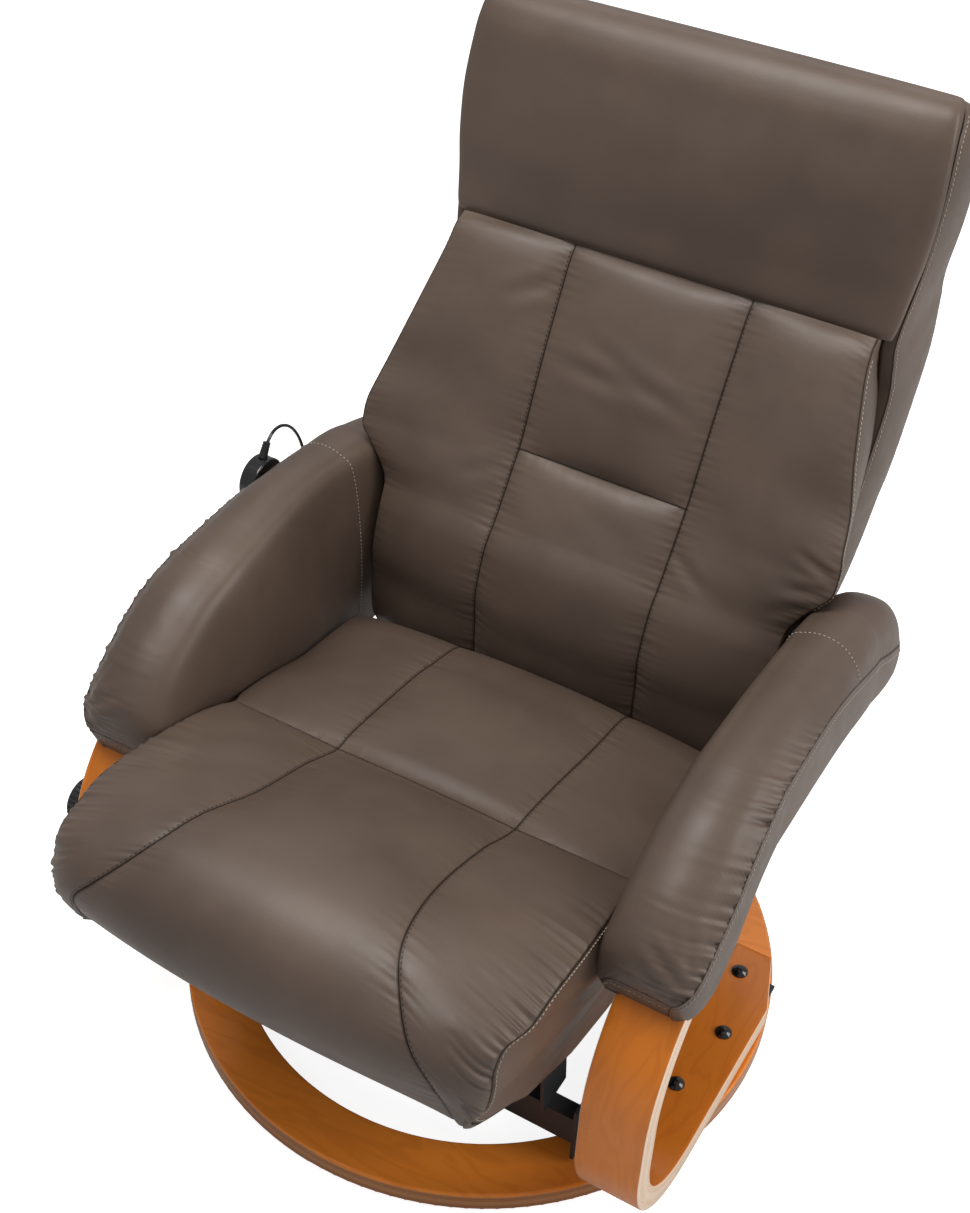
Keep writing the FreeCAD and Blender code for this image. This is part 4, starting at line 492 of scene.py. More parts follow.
def add_values(mesh, name, values):
    layer = mesh.attributes.new(name, "FLOAT", "POINT")
    layer.data.foreach_set("value", np.asarray(values, np.float32).ravel())


def add_piece(name, mesh, material, body):
    mesh.materials.append(material)
    mesh.shade_smooth()
    piece = place_object(name, mesh)
    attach(piece, body)
    return piece


# Sewn leather

PANEL_POWER = 0.72
GATHER_REACH = 8.0
GATHER_WAVE = 14.0
CREASE_REACH = 14.0
UNSEWN = 400.0
# Width of the seam mask that carries the painted shade in the seam valleys
SEAM_SHADE_REACH = 0.95
STITCH_PITCH = 5.2
STITCH_LENGTH = 3.8
THREAD_RADIUS = 0.52
THREAD_SIDES = 6
THREAD_SWELL = (0.35, 0.9, 1.0, 0.9, 0.35)


def part_way(value, start, end):
    """Share from 0 at the start to 1 at the end, held at both."""
    return np.clip((value - start) / (end - start), 0, 1)


def shares(count):
    """Places across a panel from 0 up to 1, closer together near both of its edges."""
    t = np.arange(count) / count
    return 0.5 * t + 0.25 * (1 - np.cos(np.pi * t))


def spanned(lines, share):
    """Smooth cubic across a panel through its control lines, which stand at even shares of its width."""
    ends = with_ends(np.asarray(lines))
    place = share * (len(lines) - 1)
    low = np.minimum(place.astype(int), len(lines) - 2)
    return cubic((ends[low + step] for step in range(4)), (place - low)[:, None, None]).transpose(1, 0, 2)


class SewnSheet:
    """Leather panels sewn side by side. A panel runs through its control lines, or with three of them lies
    straight from first to last, drawn out to the middle one by 4t(1-t) to the panel power. It swells along
    the normal by its fullness in the same way. A sewn edge gathers by its own height in uneven ripples that
    reach farther where they are higher; None marks an edge that is not sewn. A cross seam lies on one row
    between two columns, with its gather and how deep it pulls the swelling down."""

    def __init__(self, panels, crosses=(), loop=True, seed=1):
        columns, self.starts, self.shares, self.widths = [], [], [], []
        for lines, count, full, sewn in panels:
            t = shares(count)
            dome = (4 * t * (1 - t)) ** PANEL_POWER
            if len(lines) > 3:
                block = spanned(lines, t)
            else:
                block = lines[0][:, None] * (1 - t)[:, None] + lines[-1][:, None] * t[:, None]
            if len(lines) == 3:
                block = block + (lines[1] - (lines[0] + lines[2]) / 2)[:, None] * dome[:, None]
            width = np.sum(np.linalg.norm(np.diff(lines, axis=0), axis=2), axis=0)
            near, pull = np.full(block.shape[:2], UNSEWN), np.zeros(block.shape[:2])
            for gather, away in zip(sewn, (t, 1 - t)):
                if gather is not None:
                    near = np.minimum(near, away * width[:, None])
                    pull = np.where(away <= 0.5, np.broadcast_to(gather, len(width))[:, None], pull)
            columns.append((block, np.broadcast_to(full, len(width))[:, None] * dome, near, pull))
            self.starts.append(sum(map(len, self.shares)))
            self.shares.append(t)
            self.widths.append(width)
        if not loop:
            last = panels[-1][0][-1][:, None]
            blank = np.zeros(last.shape[:2])
            columns.append((last, blank, blank + UNSEWN, blank))
        base, full, near, pull = (np.concatenate(part, axis=1) for part in zip(*columns))
        normal = surface_normals(base, loop)
        if np.sum(normal * (base - base.mean(axis=(0, 1)))) < 0:
            normal = -normal
        run, across = run_lengths(base), run_lengths(base, 1)
        lift = full + 0.7 * undulation(run, across, seed, 95.0) * np.minimum(full / 6, 1)
        reach = GATHER_REACH * (0.7 + pull) * (1 + 0.45 * ripple(run, seed + 5, 45.0))
        lift += pull * np.exp(-near / reach) * ripple(run, seed, GATHER_WAVE) * np.minimum(near / 3, 1)
        for row, first, last, gather, deep in crosses:
            away = np.abs(run - run[row])
            inside = np.zeros(base.shape[1], bool)
            inside[first:last] = True
            lift = lift * np.where(inside, 1 - deep * np.exp(-away / CREASE_REACH), 1.0)
            wave = gather * np.exp(-away / GATHER_REACH) * ripple(across, seed + 3, GATHER_WAVE)
            lift += np.where(inside, wave * np.minimum(away / 3, 1), 0)
            near = np.where(inside, np.minimum(near, away + (0.0 if deep else 0.8)), near)
        self.loop, self.near, self.normal = loop, near, normal
        self.points = base + normal * lift[..., None]
        self.refresh()

    def refresh(self):
        """Normals of the places as they now are, on the same side as before."""
        normal = surface_normals(self.points, self.loop)
        self.normal = -normal if np.sum(normal * self.normal) < 0 else normal

    def beside(self, panel, offset, rows=slice(None), lift=0.0):
        """Line at one distance from a panel's start, or from its end when the distance is negative."""
        width, t = self.widths[panel], self.shares[panel]
        share = np.clip(offset / width if offset >= 0 else 1 + offset / width, 0, 1)
        column = self.starts[panel] + np.interp(share, np.append(t, 1.0), np.arange(len(t) + 1))
        low = np.floor(column).astype(int)
        part = (column - low)[:, None]
        total = self.points.shape[1]
        line = np.arange(len(column))
        after = (low + 1) % total if self.loop else np.minimum(low + 1, total - 1)
        place, out = (grid[line, low % total] * (1 - part) + grid[line, after] * part
                      for grid in (self.points, self.normal))
        return (place + lift * out)[rows], out[rows]

    def at_row(self, row, first, last, lift=0.0):
        place, out = self.points[row, first:last], self.normal[row, first:last]
        return place + lift * out, out


def crease(sheet, folds, side=1.0):
    """Folds in turn, mirrored where the side is -1. At a distance d along the surface from a line between two
    places it dips by depth*exp(-(d/width)^2), with a low swell on both sides, fading towards its ends."""
    for start, end, depth, width in folds:
        start, end = (np.array(place) * (side, 1, 1) for place in (start, end))
        length = np.linalg.norm(end - start)
        along = (end - start) / length
        offset = sheet.points - start
        place = offset @ along
        aside = offset - place[..., None] * along
        height = np.sum(aside * sheet.normal, axis=2)
        away = np.linalg.norm(aside - height[..., None] * sheet.normal, axis=2)
        past = np.maximum(np.abs(place / length - 0.5) - 0.5, 0) * length
        fade = np.sin(np.pi * np.clip(place / length, 0.02, 0.98)) ** 0.7
        fade = fade * np.exp(-(past / width) ** 2 - (height / 25) ** 2)
        shape = -np.exp(-(away / width) ** 2) + 0.8 * np.exp(-((away - 1.9 * width) / (1.1 * width)) ** 2)
        sheet.points = sheet.points + sheet.normal * (depth * fade * shape)[..., None]
    sheet.refresh()


def leather_piece(name, sheet, body, node, turned=False):
    """Object from a sewn sheet, closed at both ends, with a seam mask for the painted shade along its seams.
    """
    points = sheet.points.transpose(1, 0, 2) if turned else sheet.points
    near = sheet.near.T if turned else sheet.near
    mesh = tube_mesh(name, points, points.mean(axis=(0, 1)))
    # Seam mask for the painted shade in the seam valleys
    add_values(mesh, "seam", np.exp(-(near / SEAM_SHADE_REACH) ** 2))
    piece = add_piece(name, mesh, LEATHER, body)
    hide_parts(node)


def stitch_piece(name, lines, thread, body):
    """Row of thread stitches on each line: a line is places and outward normals, and each stitch is a
    spindle that dips at both ends."""
    steps = np.linspace(-0.5, 0.5, len(THREAD_SWELL))
    lift = (THREAD_RADIUS * (0.55 - 5.2 * steps ** 2))[:, None, None]
    wide = (THREAD_RADIUS * np.array(THREAD_SWELL))[:, None, None]
    turn = np.linspace(0, 2 * np.pi, THREAD_SIDES, endpoint=False)[:, None]
    shapes, faces, start = [], [], 0
    for places, normals in lines:
        run = run_lengths(places)
        middles = np.arange(STITCH_PITCH * 0.75, run[-1] - STITCH_PITCH * 0.5, STITCH_PITCH)
        spots = middles[:, None] + steps * STITCH_LENGTH
        centre, up = (np.stack([np.interp(spots, run, line[:, k]) for k in range(3)], axis=-1)
                      for line in (places, normals))
        up = unit(up)
        side = unit(np.cross(unit(centre[:, -1:] - centre[:, :1]), up))[:, :, None]
        centre, up = centre[:, :, None], up[:, :, None]
        ring = centre + up * lift + wide * (np.cos(turn) * side + np.sin(turn) * up)
        shapes.append(ring.reshape(-1, 3))
        index = np.arange(ring.size // 3).reshape(ring.shape[:3]) + start
        after = np.roll(index, -1, axis=2)
        quads = np.stack([index[:, :-1], after[:, :-1], after[:, 1:], index[:, 1:]], axis=-1)
        faces += quads.reshape(-1, 4).tolist() + index[:, 0, ::-1].tolist() + index[:, -1].tolist()
        start += index.size
    add_piece(name, make_mesh(name, np.vstack(shapes), faces), thread, body)


# Seat cushion: centre y z, lengthwise seam x y z and boxing seam x y z, from the rear bottom over the top

SEAT_KEYS = np.array([
    (118, 190, 106, 118, 190, 236, 118, 190), (122, 270, 107, 121, 268, 240, 120, 264),
    (126, 328, 107, 124, 326, 244, 122, 320), (120, 358, 108, 118, 354, 246, 115, 344),
    (97, 373, 108, 96, 368, 247, 90, 353), (57, 385, 109, 57, 377, 250, 49, 356),
    (17, 397, 110, 17, 386, 251, 0, 362), (-60, 409, 108, -60, 400, 252, -62, 381),
    (-110, 412, 107, -112, 407, 250, -112, 394), (-139, 409, 106, -140, 408, 238, -140, 410),
    (-168, 431, 106, -168, 420, 242, -164, 421), (-208, 451, 105, -204, 438, 247, -201, 433),
    (-278, 481, 106, -279, 465, 252, -273, 449), (-345, 501, 117, -347, 490, 253, -334, 458),
    (-398, 499, 129, -391, 491, 251, -374, 453), (-437, 478, 150, -423, 474, 244, -405, 455),
    (-456, 444, 173, -445, 453, 242, -419, 437), (-459, 410, 195, -449, 426, 243, -423, 414),
    (-447, 377, 209, -439, 386, 239, -425, 386), (-424, 352, 213, -428, 355, 226, -424, 358),
    (-396, 334, 214, -404, 331, 226, -404, 332), (-350, 316, 222, -360, 308, 232, -360, 310)], float)
SEAT_STEPS = 24
SEAT_CROSS = 9
SEAT_BOXING, SEAT_SIDE, SEAT_MIDDLE = 22, 36, 60
SEAT_LOW = [(-360, 312), (-314, 290), (-242, 256), (-161, 236), (118, 190)]
SEAT_HUB = np.array([254.0, -140.0, 330.0])
CAVITY_FRONT, CAVITY_REAR, CAVITY_SIDE = -338.0, 100.0, 232.0
CAVITY_LIP = 1.5
SLIDE_TURN = math.radians(15)


def cavity_ceiling(y):
    """Underside of the cushion over the slide line, which rises forwards by 15 degrees from (-226, 250)."""
    return 250 - math.tan(SLIDE_TURN) * (y + 226) + 50 / math.cos(SLIDE_TURN)


def make_seat():
    """Side profile carried across through the lengthwise seams. Each boxing panel closes towards a hub at its
    side, and the underside is sunk to the ceiling over the seat's frame."""
    top = through(SEAT_KEYS, SEAT_STEPS)
    low_y = np.concatenate([[CAVITY_FRONT - CAVITY_LIP], np.linspace(CAVITY_FRONT, CAVITY_REAR, 34),
                            [CAVITY_REAR + CAVITY_LIP]])
    low = [low_y, np.interp(low_y, *zip(*SEAT_LOW))]
    ease = np.linspace(0, 1, len(low_y) + 2)[1:-1]
    rows = np.vstack([top, np.column_stack([*low, 228 - 122 * ease, *low, 238 - 2 * ease, *low])])
    count, total = len(top), len(rows)
    step = np.arange(total) / SEAT_STEPS
    on_top = np.arange(total) < count
    middle = np.column_stack([np.zeros(total), rows[:, :2]])
    seam, edge = rows[:, 2:5], rows[:, 5:8]
    lifted = 14 * np.exp(-((step - 18.8) / 1.3) ** 2)[:, None] * (0.5, 0, 1)
    pole = SEAT_HUB + 0.01 * (edge - SEAT_HUB)
    lip = count / SEAT_STEPS
    swollen = np.minimum(part_way(step, 2.7, 4.4), part_way(step, lip, lip - 4.2))
    side_full = np.where(on_top, 9.0 * swollen, 0.0)
    boxing_full = np.where(on_top, 2.0, 0.5)
    gather = np.where(on_top, 0.8, 0.0)
    edge_gather = 0.3 * gather + 2.6 * part_way(rows[:, 6], -180, -240) * on_top
    left_seam, left_edge = seam * MIRROR + lifted, edge * MIRROR + lifted
    panels = [((pole * MIRROR, left_edge), SEAT_BOXING, boxing_full, (None, 0.3 * gather)),
              ((left_edge, left_seam), SEAT_SIDE, side_full, (edge_gather, gather)),
              ((left_seam, middle, seam), SEAT_MIDDLE, 0.0, (gather, gather)),
              ((seam, edge), SEAT_SIDE, side_full, (gather, edge_gather)),
              ((edge, pole), SEAT_BOXING, boxing_full, (0.3 * gather, None))]
    cross = SEAT_CROSS * SEAT_STEPS
    first, last = SEAT_BOXING + 2, SEAT_BOXING + 2 * SEAT_SIDE + SEAT_MIDDLE - 2
    sheet = SewnSheet(panels, [(cross, first, last, 0.8, 0.95)], loop=False, seed=11)
    across, along, _ = np.moveaxis(sheet.points, 2, 0)
    sunk = (~on_top[:, None] & (np.abs(across) < CAVITY_SIDE)
            & (along >= CAVITY_FRONT - 0.5) & (along <= CAVITY_REAR + 0.5))
    sheet.points[..., 2] = np.where(sunk, cavity_ceiling(along), sheet.points[..., 2])
    sheet.near = np.where(on_top[:, None], sheet.near, UNSEWN)
    leather_piece("seat_leather", sheet, "seat", "seat_cushion", turned=True)
    front = slice(cross, count - SEAT_STEPS)
    lines = [sheet.beside(panel, offset, front, 0.8) for panel, offset in ((0, -5.5), (4, 5.5))]
    stitch_piece("seat_pale_stitches", lines, PALE_THREAD, "seat")
    seams = slice(2 * SEAT_STEPS, count - 3 * SEAT_STEPS)
    dark = [sheet.beside(panel, offset, seams, -0.2) for panel, offset in ((1, -2.2), (3, 2.2))]
    dark.append(sheet.at_row(cross + 1, first, last - 2, -0.2))
    stitch_piece("seat_dark_stitches", dark, DARK_THREAD, "seat")


# Back cushion: sewn line y z, its place on the shell y z, half width, half width at the shell, middle and
# side fullness and how far the outer edge stands forward, from the bottom up

BACK_KEYS = np.array([
    (140, 314, 206, 350, 238, 228, 3, 3, -3), (137, 334, 203, 364, 248, 240, 12, 9, -7),
    (137, 385, 203, 396, 250, 243, 15, 10, -10), (136, 428, 205, 420, 250, 244, 15, 10, -12),
    (152, 478, 228, 460, 249, 244, 15, 10, -9), (175, 508, 241, 480, 251, 245, 15, 10, 0),
    (192, 532, 252, 500, 269, 252, 15, 10, 13), (203, 548, 260, 515, 286, 258, 15, 9, 21),
    (213, 563, 272, 533, 289, 258, 15, 8, 25), (222, 576, 278, 543, 288, 258, 15, 8, 29),
    (231, 592, 290, 560, 284.5, 257, 15, 8, 29),
    (246, 626, 304, 595, 278, 258, 15, 9, 20), (270, 676, 326, 650, 264, 258, 15, 10, 19),
    (303, 738, 345, 705, 248, 249, 13, 10, 15), (319, 766, 343, 745, 244, 240, 10, 7, 12),
    (331, 780.5, 341, 776, 243, 239, 2, 2, 6)], float)
BACK_STEPS = 25
BACK_CROSS = 9
BACK_FLANK, BACK_SIDE, BACK_MIDDLE, BACK_REAR = 24, 40, 52, 14
BACK_FOLDS = [
    ((-95, 262, 676), (60, 268, 668), 1.5, 9.0), ((-60, 277, 706), (90, 262, 655), 1.2, 8.0),
    ((100, 196, 540), (160, 178, 512), 1.0, 7.0), ((288, 196, 577), (238, 206, 590), 1.4, 5.0),
    ((284, 192, 560), (236, 192, 550), 1.8, 5.5), ((276, 188, 544), (226, 186, 524), 1.5, 6.0),
    ((-110, 300, 748), (-165, 292, 716), 1.3, 8.0), ((-112, 210, 560), (-170, 196, 530), 0.8, 8.0)]


def make_back():
    """Sections from the sewn front line back to the shell, with three puffed panels across the front."""
    rows = through(BACK_KEYS, BACK_STEPS)
    sewn, rear = rows[:, 0:2], rows[:, 2:4]
    half, wide, middle, sides, forward = rows[:, 4:9].T
    depth = np.linalg.norm(sewn - rear, axis=1)
    ahead = unit(sewn - rear)

    def at(x, reach):
        return np.column_stack([x, rear + ahead * reach[:, None]])

    edge_reach = depth + forward
    seam, edge = at(103 + 2 * part_way(rows[:, 1], 600, 780), depth), at(half, edge_reach)
    foot, flank = at(wide, np.full(len(rows), 0.6)), at((half + wide) / 2 + 4, edge_reach / 2)
    panels = [((foot * MIRROR, flank * MIRROR, edge * MIRROR), BACK_FLANK, 0.0, (None, 0.3)),
              ((edge * MIRROR, seam * MIRROR), BACK_SIDE, sides, (0.6, 0.8)),
              ((seam * MIRROR, seam), BACK_MIDDLE, middle, (0.8, 0.8)),
              ((seam, edge), BACK_SIDE, sides, (0.8, 0.6)),
              ((edge, flank, foot), BACK_FLANK, 0.0, (0.3, None)),
              ((foot, foot * MIRROR), BACK_REAR, 0.0, (None, None))]
    cross, first = BACK_CROSS * BACK_STEPS, BACK_FLANK + BACK_SIDE
    last = first + BACK_MIDDLE + 1
    sheet = SewnSheet(panels, [(cross, first, last, 0.8, 0.95)], seed=23)
    crease(sheet, BACK_FOLDS)
    leather_piece("back_leather", sheet, "backrest", "back_cushion")
    seams, wing = slice(8, -8), slice(6 * BACK_STEPS, 14 * BACK_STEPS)
    dark = [sheet.beside(1, -2.2, seams, -0.2), sheet.beside(3, 2.2, seams, -0.2),
            sheet.at_row(cross + 1, first, last, -0.2)]
    stitch_piece("back_dark_stitches", dark, DARK_THREAD, "backrest")
    pale = [sheet.beside(0, -4.5, wing, 0.2), sheet.beside(4, 4.5, wing, 0.2)]
    stitch_piece("back_pale_stitches", pale, PALE_THREAD, "backrest")


# Headrest: side seam y z, rear seam y z, half width and crown, from the bottom up

HEAD_KEYS = np.array([
    (331, 781, 340, 780, 254, 2), (333, 793, 344, 793, 257, 8), (340, 825, 353.7, 825.6, 261, 13),
    (347, 866, 364.1, 866, 266, 17), (358, 916, 372, 916, 268, 19), (372, 966, 384, 967, 265, 17),
    (380, 988, 393, 982, 263, 13), (389, 1002, 403, 991, 261, 9), (402, 1009, 412, 997, 258, 6),
    (418, 1008.5, 423, 999, 254, 3), (425, 1005, 427, 1001, 252, 1)], float)
HEAD_STEPS = 24
HEAD_WRAP, HEAD_REAR = 132, 14


def make_headrest():
    """One wrap from rear seam to rear seam, raised to the crown in front, and a flat rear panel."""
    rows = through(HEAD_KEYS, HEAD_STEPS)
    front, rear = rows[:, 0:2], rows[:, 2:4]
    half, crown = rows[:, 4:6].T
    ahead = unit(front - rear)

    def at(x, share, lift):
        return np.column_stack([x, rear + (front - rear) * share + ahead * (crown * lift)[:, None]])

    back = np.column_stack([half, rear + 0.5 * ahead])
    right = [back, at(half + 1.0, 0.45, 0.0), at(half - 3.0, 0.95, 0.05), at(half - 22.0, 1.0, 0.35),
             at(half * 0.72, 1.0, 0.68), at(half * 0.38, 1.0, 0.93)]
    wrap = [line * MIRROR for line in right] + [at(half * 0, 1.0, 1.0)] + right[::-1]
    panels = [(wrap, HEAD_WRAP, 0.0, (0.35, 0.35)), ((back, back * MIRROR), HEAD_REAR, 0.0, (None, None))]
    sheet = SewnSheet(panels, seed=31)
    leather_piece("headrest_leather", sheet, "backrest", "headrest_pad")
    lines = [sheet.beside(0, offset, slice(8, -10)) for offset in (2.0, -2.0)]
    stitch_piece("headrest_stitches", lines, DARK_THREAD, "backrest")


# Back shell: front y z, rear y z, half width in front and behind, from the bottom up

SHELL_KEYS = np.array([
    (208, 354, 284, 352, 226, 226), (202, 368, 300, 362, 243, 243), (205, 420, 318, 425, 246.5, 249),
    (228, 460, 338, 470, 247.5, 257), (262, 515, 358, 520, 249, 262), (290, 560, 375, 565, 253, 265),
    (304, 595, 394, 592, 257, 266), (326, 650, 430, 650, 260, 265), (345, 705, 462, 712, 261, 264),
    (341, 745, 474, 760, 260, 261), (340, 780, 478, 800, 259, 259), (362, 853, 482, 860, 265, 265),
    (372, 916, 482, 925, 268, 268), (384, 971, 472, 962, 266, 266), (402, 991, 457, 981, 262, 262),
    (414, 998, 442, 993, 257, 257), (424, 1000, 432, 1000, 252, 252)], float)
SHELL_STEPS = 14
BOARD_INSET = 14.0
BOARD_SINK = 4.5


def make_shell():
    """Outer shell of the back, with bowed sides and rear, open in front for the board."""
    rows = through(SHELL_KEYS, SHELL_STEPS)
    front, rear = rows[:, 0:2], rows[:, 2:4]
    half, broad = rows[:, 4:6].T
    thick = np.linalg.norm(rear - front, axis=1)
    depth = unit(rear - front)
    swell_out = 3.5 + 3.5 * part_way(front[:, 1], 560, 620) * np.minimum(thick / 60, 1)
    edge = np.column_stack([half, front])
    rim = np.column_stack([half - BOARD_INSET, front])
    sunk = np.column_stack([half - BOARD_INSET, front + BOARD_SINK * depth])
    back = np.column_stack([broad, rear])
    swell = np.column_stack([(half + broad) / 2 + swell_out, (front + rear) / 2])
    bulge = np.column_stack([np.zeros(len(rows)), rear + 12 * np.minimum(thick / 110, 1)[:, None] * depth])
    outside = [((edge, swell, back), 40), ((back, bulge, back * MIRROR), 60),
               ((back * MIRROR, swell * MIRROR, edge * MIRROR), 40)]
    inside = [((edge * MIRROR, rim * MIRROR), 4), ((rim * MIRROR, sunk * MIRROR), 2),
              ((sunk * MIRROR, sunk), 12), ((sunk, rim), 2), ((rim, edge), 4)]
    panels = [(lines, count, 0.0, sewn) for part, sewn in ((outside, (0.3, 0.3)), (inside, (None, None)))
              for lines, count in part]
    sheet = SewnSheet(panels, seed=41)
    leather_piece("shell_leather", sheet, "backrest", "back_shell")
    lines = [sheet.beside(panel, offset, slice(first, -20), 0.2)
             for panel, offset, first in ((0, 5.0, 70), (2, -5.0, 70), (1, 6.0, 20), (1, -6.0, 20))]
    stitch_piece("shell_stitches", lines, PALE_THREAD, "backrest")


# Bentwood side frames: corners of the outer face seen from the side and the radius at each corner

WOOD_CORNERS = np.array([(126, 40), (-298, 40), (-298, 340), (-106, 480), (75, 480), (292, 433)], float)
WOOD_RADII = (0, 148, 188, 150, 400, 0)
WOOD_THICKNESS, WOOD_INNER, WOOD_OUTER = 27.0, 275.0, 346.0
WOOD_ROUND = 2.2
WOOD_SPACING = 5.0
CUT_START, CUT_LENGTH, CUT_DEEP = 52.0, 75.0, 27.0


def rounded_path(corners, radii, spacing):
    """Straight runs joined by arcs of the given radii, sampled at about one spacing, with unit headings."""
    places, headings = [], []
    here = corners[0]
    for index in range(1, len(corners)):
        corner, radius = corners[index], radii[index]
        ahead = unit(corner - corners[index - 1])
        stop = corner
        if radius:
            after = unit(corners[index + 1] - corner)
            turn = math.atan2(ahead[0] * after[1] - ahead[1] * after[0], float(ahead @ after))
            stop = corner - ahead * radius * math.tan(abs(turn) / 2)
        steps = max(2, int(np.linalg.norm(stop - here) / spacing))
        t = np.linspace(0, 1, steps, endpoint=False)[:, None]
        places.append(here * (1 - t) + stop * t)
        headings.append(np.repeat(ahead[None], steps, axis=0))
        here = stop
        if radius:
            side = np.array([-ahead[1], ahead[0]]) * math.copysign(1, turn)
            steps = max(4, int(abs(turn) * radius / spacing))
            angle = np.linspace(0, abs(turn), steps, endpoint=False)[:, None]
            places.append(stop + radius * (np.sin(angle) * ahead + (1 - np.cos(angle)) * side))
            headings.append(np.cos(angle) * ahead + np.sin(angle) * side)
            here = corner + after * radius * math.tan(abs(turn) / 2)
    places.append(here[None])
    headings.append(headings[-1][-1:])
    return np.vstack(places), np.vstack(headings)


WOOD_LINE, WOOD_HEADING = rounded_path(WOOD_CORNERS, WOOD_RADII, WOOD_SPACING)


def wood_top(y):
    """Height of the wood's outer face at each place along the arm."""
    upper = WOOD_LINE[WOOD_LINE[:, 1] > 300]
    return np.interp(y, upper[:, 0], upper[:, 1])


def make_side_frame(side, name, node):
    """Rectangle with softened corners carried along the bent line, tapered by a chamfer at its lower end.
    Places on it are a share of the width, an offset, a depth and whether plies show, first along one half
    and then the same turned half round."""
    turn = np.linspace(0, np.pi / 2, 5)
    dx, dd = (1 - np.cos(turn)) * WOOD_ROUND, (1 - np.sin(turn)) * WOOD_ROUND
    rim = np.where(dx < 0.3 * WOOD_ROUND, 1.0, 0.0)
    across, down = np.linspace(0.08, 0.92, 8), np.linspace(5, WOOD_THICKNESS - 5, 5)
    blocks = [(0, dx, dd, rim), (across, 0, 0, 0), (1, -dx[::-1], dd[::-1], rim[::-1]), (1, 0, down, 1)]
    half = np.vstack([np.column_stack(np.broadcast_arrays(*block)) for block in blocks])
    share, offset, depth, edge = np.vstack([half, half * (-1, -1, -1, 1) + (1, 0, WOOD_THICKNESS, 0)]).T
    y, z = WOOD_LINE.T
    cut = np.where((z < 60) & (y > CUT_START), np.maximum((y - CUT_START) * CUT_DEEP / CUT_LENGTH - 1, 0), 0)
    width = WOOD_OUTER - WOOD_INNER - cut
    normal = np.column_stack([WOOD_HEADING[:, 1], -WOOD_HEADING[:, 0]])
    x = WOOD_INNER + width[:, None] * share + offset
    place = WOOD_LINE[:, None] + normal[:, None] * depth[:, None]
    points = np.concatenate([side * x[..., None], place], axis=2)
    mesh = tube_mesh(name, points, points.mean(axis=1, keepdims=True))
    run = np.broadcast_to(run_lengths(WOOD_LINE)[:, None], x.shape)
    for value, numbers in (("along", run * MM), ("depth", depth * MM + 0 * x), ("edge", edge + 0 * x)):
        add_values(mesh, value, numbers)
    piece = add_piece(name, mesh, BENT_WOOD, "swivel_frame")
    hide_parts(node)


# Arm pads: place on the wood, lean in degrees, seam height, inner panel depth, inset and rise of the crown
# over the seam, from the front hem to the rear

ARM_KEYS = np.array([
    (-243, 21, 3, 1, 25, 0), (-243.6, 21, 14, 1, 24, 0.4), (-244, 21, 26, 1.5, 22, 0.8),
    (-243.5, 21, 36, 2, 19, 1.4), (-241.5, 21, 40, 4, 13, 12), (-237, 21, 43, 10, 7.5, 21),
    (-230, 20.6, 45, 22, 3.5, 28), (-218, 20, 47, 38, 1, 32), (-190, 17, 50, 75, 0, 35),
    (-150, 13, 52, 105, 0, 30), (-105, 8, 50, 130, 0, 25), (-78, 5.5, 51, 148, 0, 24),
    (-50, 3, 53, 165, 0, 24), (-15, 1, 55, 176, 0, 26), (20, 0, 56, 185, 0, 28), (57, 0, 54, 185, 0, 31),
    (95, 0, 51, 185, 0, 35), (132, 0, 47, 178, 0, 41), (160, 0, 44, 168, 0, 46),
    (190, 0, 40, 152, 0.5, 49), (199, 0, 39, 90, 1, 49),
    (206, 0, 38, 12, 1, 49), (230, 0, 32, 9, 0, 53), (255, 0, 26, 8, 0, 55), (282, 0, 18, 6, 2, 51),
    (293, 0, 14, 4, 6, 40), (298, 0, 9, 3, 11, 27)], float)
ARM_STEPS = 17
ARM_TOP_ROW, ARM_HEM_ROW, ARM_CAP_ROW = 2, 3, 17
ARM_OUTSIDE, ARM_ROLL = 34, 96
ARM_CLEAR = 0.4
ARM_FOLDS = [
    ((342, -256, 440), (300, -238, 464), 2.0, 4.5), ((335, -258, 425), (292, -250, 447), 1.2, 5.0),
    ((340, -246, 452), (318, -205, 482), 1.0, 4.5), ((285, -196, 478), (318, -160, 502), 1.0, 8.0),
    ((270, -170, 470), (300, -120, 510), 1.0, 9.0)]


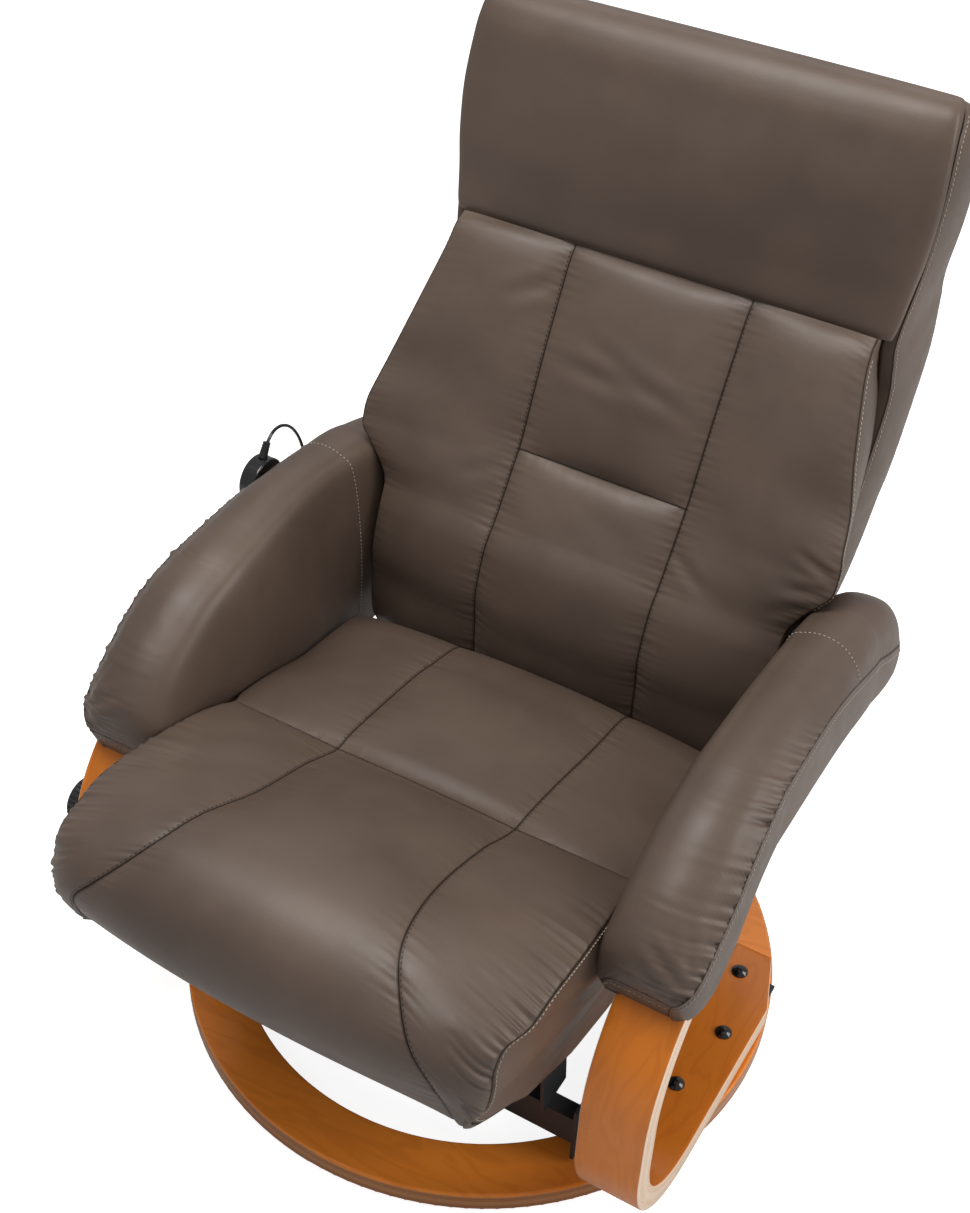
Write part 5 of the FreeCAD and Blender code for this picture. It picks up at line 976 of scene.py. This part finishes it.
def make_arm(side, name, seed):
    """Sections over the wood, each leaning back square to it: outer panel, crowned top panel and the deep
    inner panel that hangs beside the seat."""
    y, lean, seam, panel, inset, rise = through(ARM_KEYS, ARM_STEPS).T
    lean = np.radians(lean)
    base = wood_top(y) + ARM_CLEAR

    def at(x, height):
        x, height, _ = np.broadcast_arrays(x, height, y)
        return np.column_stack([side * x, y - np.sin(lean) * height, base + np.cos(lean) * height])

    back = WOOD_INNER - 0.5
    inner = 0.25 * inset
    outer = 348 + 7 * part_way(y, -60, -160) - inset
    skirt = (24 + 6 * part_way(y, 140, 60)) * part_way(y, -250, -205) * part_way(y, 304, 284)
    foot, heel, toe = at(back, -panel), at(back, 0.0), at(262 + inner / 2, -panel)
    top_seam, bulge, outer_foot = at(outer, seam), at(outer + 2, (seam - skirt) / 2), at(outer, -skirt)
    top = seam + rise
    eased = np.minimum(rise / 19, 1)
    plump = (5 + 7 * part_way(y, 60, -80)) * eased
    shoulder = np.maximum(top - 25 * eased, 0)
    fall = shoulder + panel
    boxy = part_way(y, 60, 180)
    roll = [top_seam, at(outer - 8, seam + (0.28 + 0.29 * boxy) * rise),
            at(outer - 23 + 0.4 * inset, seam + (0.74 + 0.19 * boxy) * rise),
            at(304 - 0.1 * inset, top), at(285 + 0.5 * inner - 0.6 * plump, top - 5 * eased),
            at(271 + inner - plump, top - 20 * eased), at(262.5 + inner - plump, shoulder - 0.24 * fall),
            at(257.5 + inner - 0.5 * plump, shoulder - 0.6 * fall), toe]
    gather = 0.4 + 2.7 * part_way(y, 90, -70) * part_way(top, 36, 48)
    panels = [((outer_foot, bulge, top_seam), ARM_OUTSIDE, 0.0, (None, 0.3)),
              (roll, ARM_ROLL, 0.0, (gather, None)), ((toe, foot), 6, 0.0, (None, None)),
              ((foot, heel), 12, 0.0, (None, None)), ((heel, outer_foot), 10, 0.0, (None, None))]
    cap, hem, top_row = (row * ARM_STEPS for row in (ARM_CAP_ROW, ARM_HEM_ROW, ARM_TOP_ROW))
    first, last = ARM_OUTSIDE, ARM_OUTSIDE + ARM_ROLL
    sheet = SewnSheet(panels, [(cap, first, last, 0.0, 0.0), (hem, first, last, 0.7, 0.3)], seed=seed)
    crease(sheet, ARM_FOLDS, side)
    leather_piece(name + "_leather", sheet, "swivel_frame", name)
    sides = slice(hem, -ARM_STEPS)
    pale = [sheet.beside(0, -8.0, sides, 0.2), sheet.at_row(cap, first + 1, last - 2, 0.1),
            sheet.at_row(top_row, first + 2, last - 6, 0.2)]
    stitch_piece(name + "_pale_stitches", pale, PALE_THREAD, "swivel_frame")
    dark = [sheet.beside(1, 1.4, sides, -0.1), sheet.at_row(hem + 1, first + 2, last - 2, -0.2)]
    stitch_piece(name + "_dark_stitches", dark, DARK_THREAD, "swivel_frame")


# Handset cord: the points of its route

CORD_ROUTE = [
    (-0.367, 0.10108, 0.53479), (-0.367, 0.11292, 0.5545), (-0.3695, 0.138, 0.556),
    (-0.372, 0.166, 0.537), (-0.375, 0.189, 0.498), (-0.3745, 0.197, 0.447), (-0.373, 0.2, 0.395),
    (-0.371, 0.197, 0.343), (-0.366, 0.189, 0.295), (-0.346, 0.174, 0.25), (-0.308, 0.149, 0.213),
    (-0.269, 0.113, 0.184), (-0.233, 0.076, 0.158), (-0.199, 0.051, 0.14), (-0.155, 0.054, 0.128),
    (-0.108, 0.066, 0.121), (-0.066, 0.066, 0.121)]
CORD_RADIUS = 0.002


def make_cord():
    """Round cord along a smooth curve led by the points of its route."""
    data = bpy.data.curves.new("handset_lead", "CURVE")
    data.dimensions = "3D"
    data.bevel_depth = CORD_RADIUS
    data.bevel_resolution = 4
    data.resolution_u = 12
    data.use_fill_caps = True
    spline = data.splines.new("NURBS")
    spline.points.add(len(CORD_ROUTE) - 1)
    spline.points.foreach_set("co", np.column_stack([CORD_ROUTE, np.ones(len(CORD_ROUTE))]).ravel())
    spline.order_u = 3
    spline.use_endpoint_u = True
    data.materials.append(CORD_RUBBER)
    cord = place_object("handset_lead", data)
    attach(cord, "swivel_frame")
    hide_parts("handset_cord")


make_camera()
for lamp, values in LAMPS.items():
    make_lamp(lamp, *values)
make_world()
make_floor()
make_cord()
dress_nodes()
make_seat()
make_back()
make_headrest()
make_shell()
make_arm(-1, "arm_pad_left", 53)
make_arm(1, "arm_pad_right", 59)
make_side_frame(-1, "left_bentwood", "side_frame_left")
make_side_frame(1, "right_bentwood", "side_frame_right")

bpy.context.scene.view_settings.view_transform = "Standard"
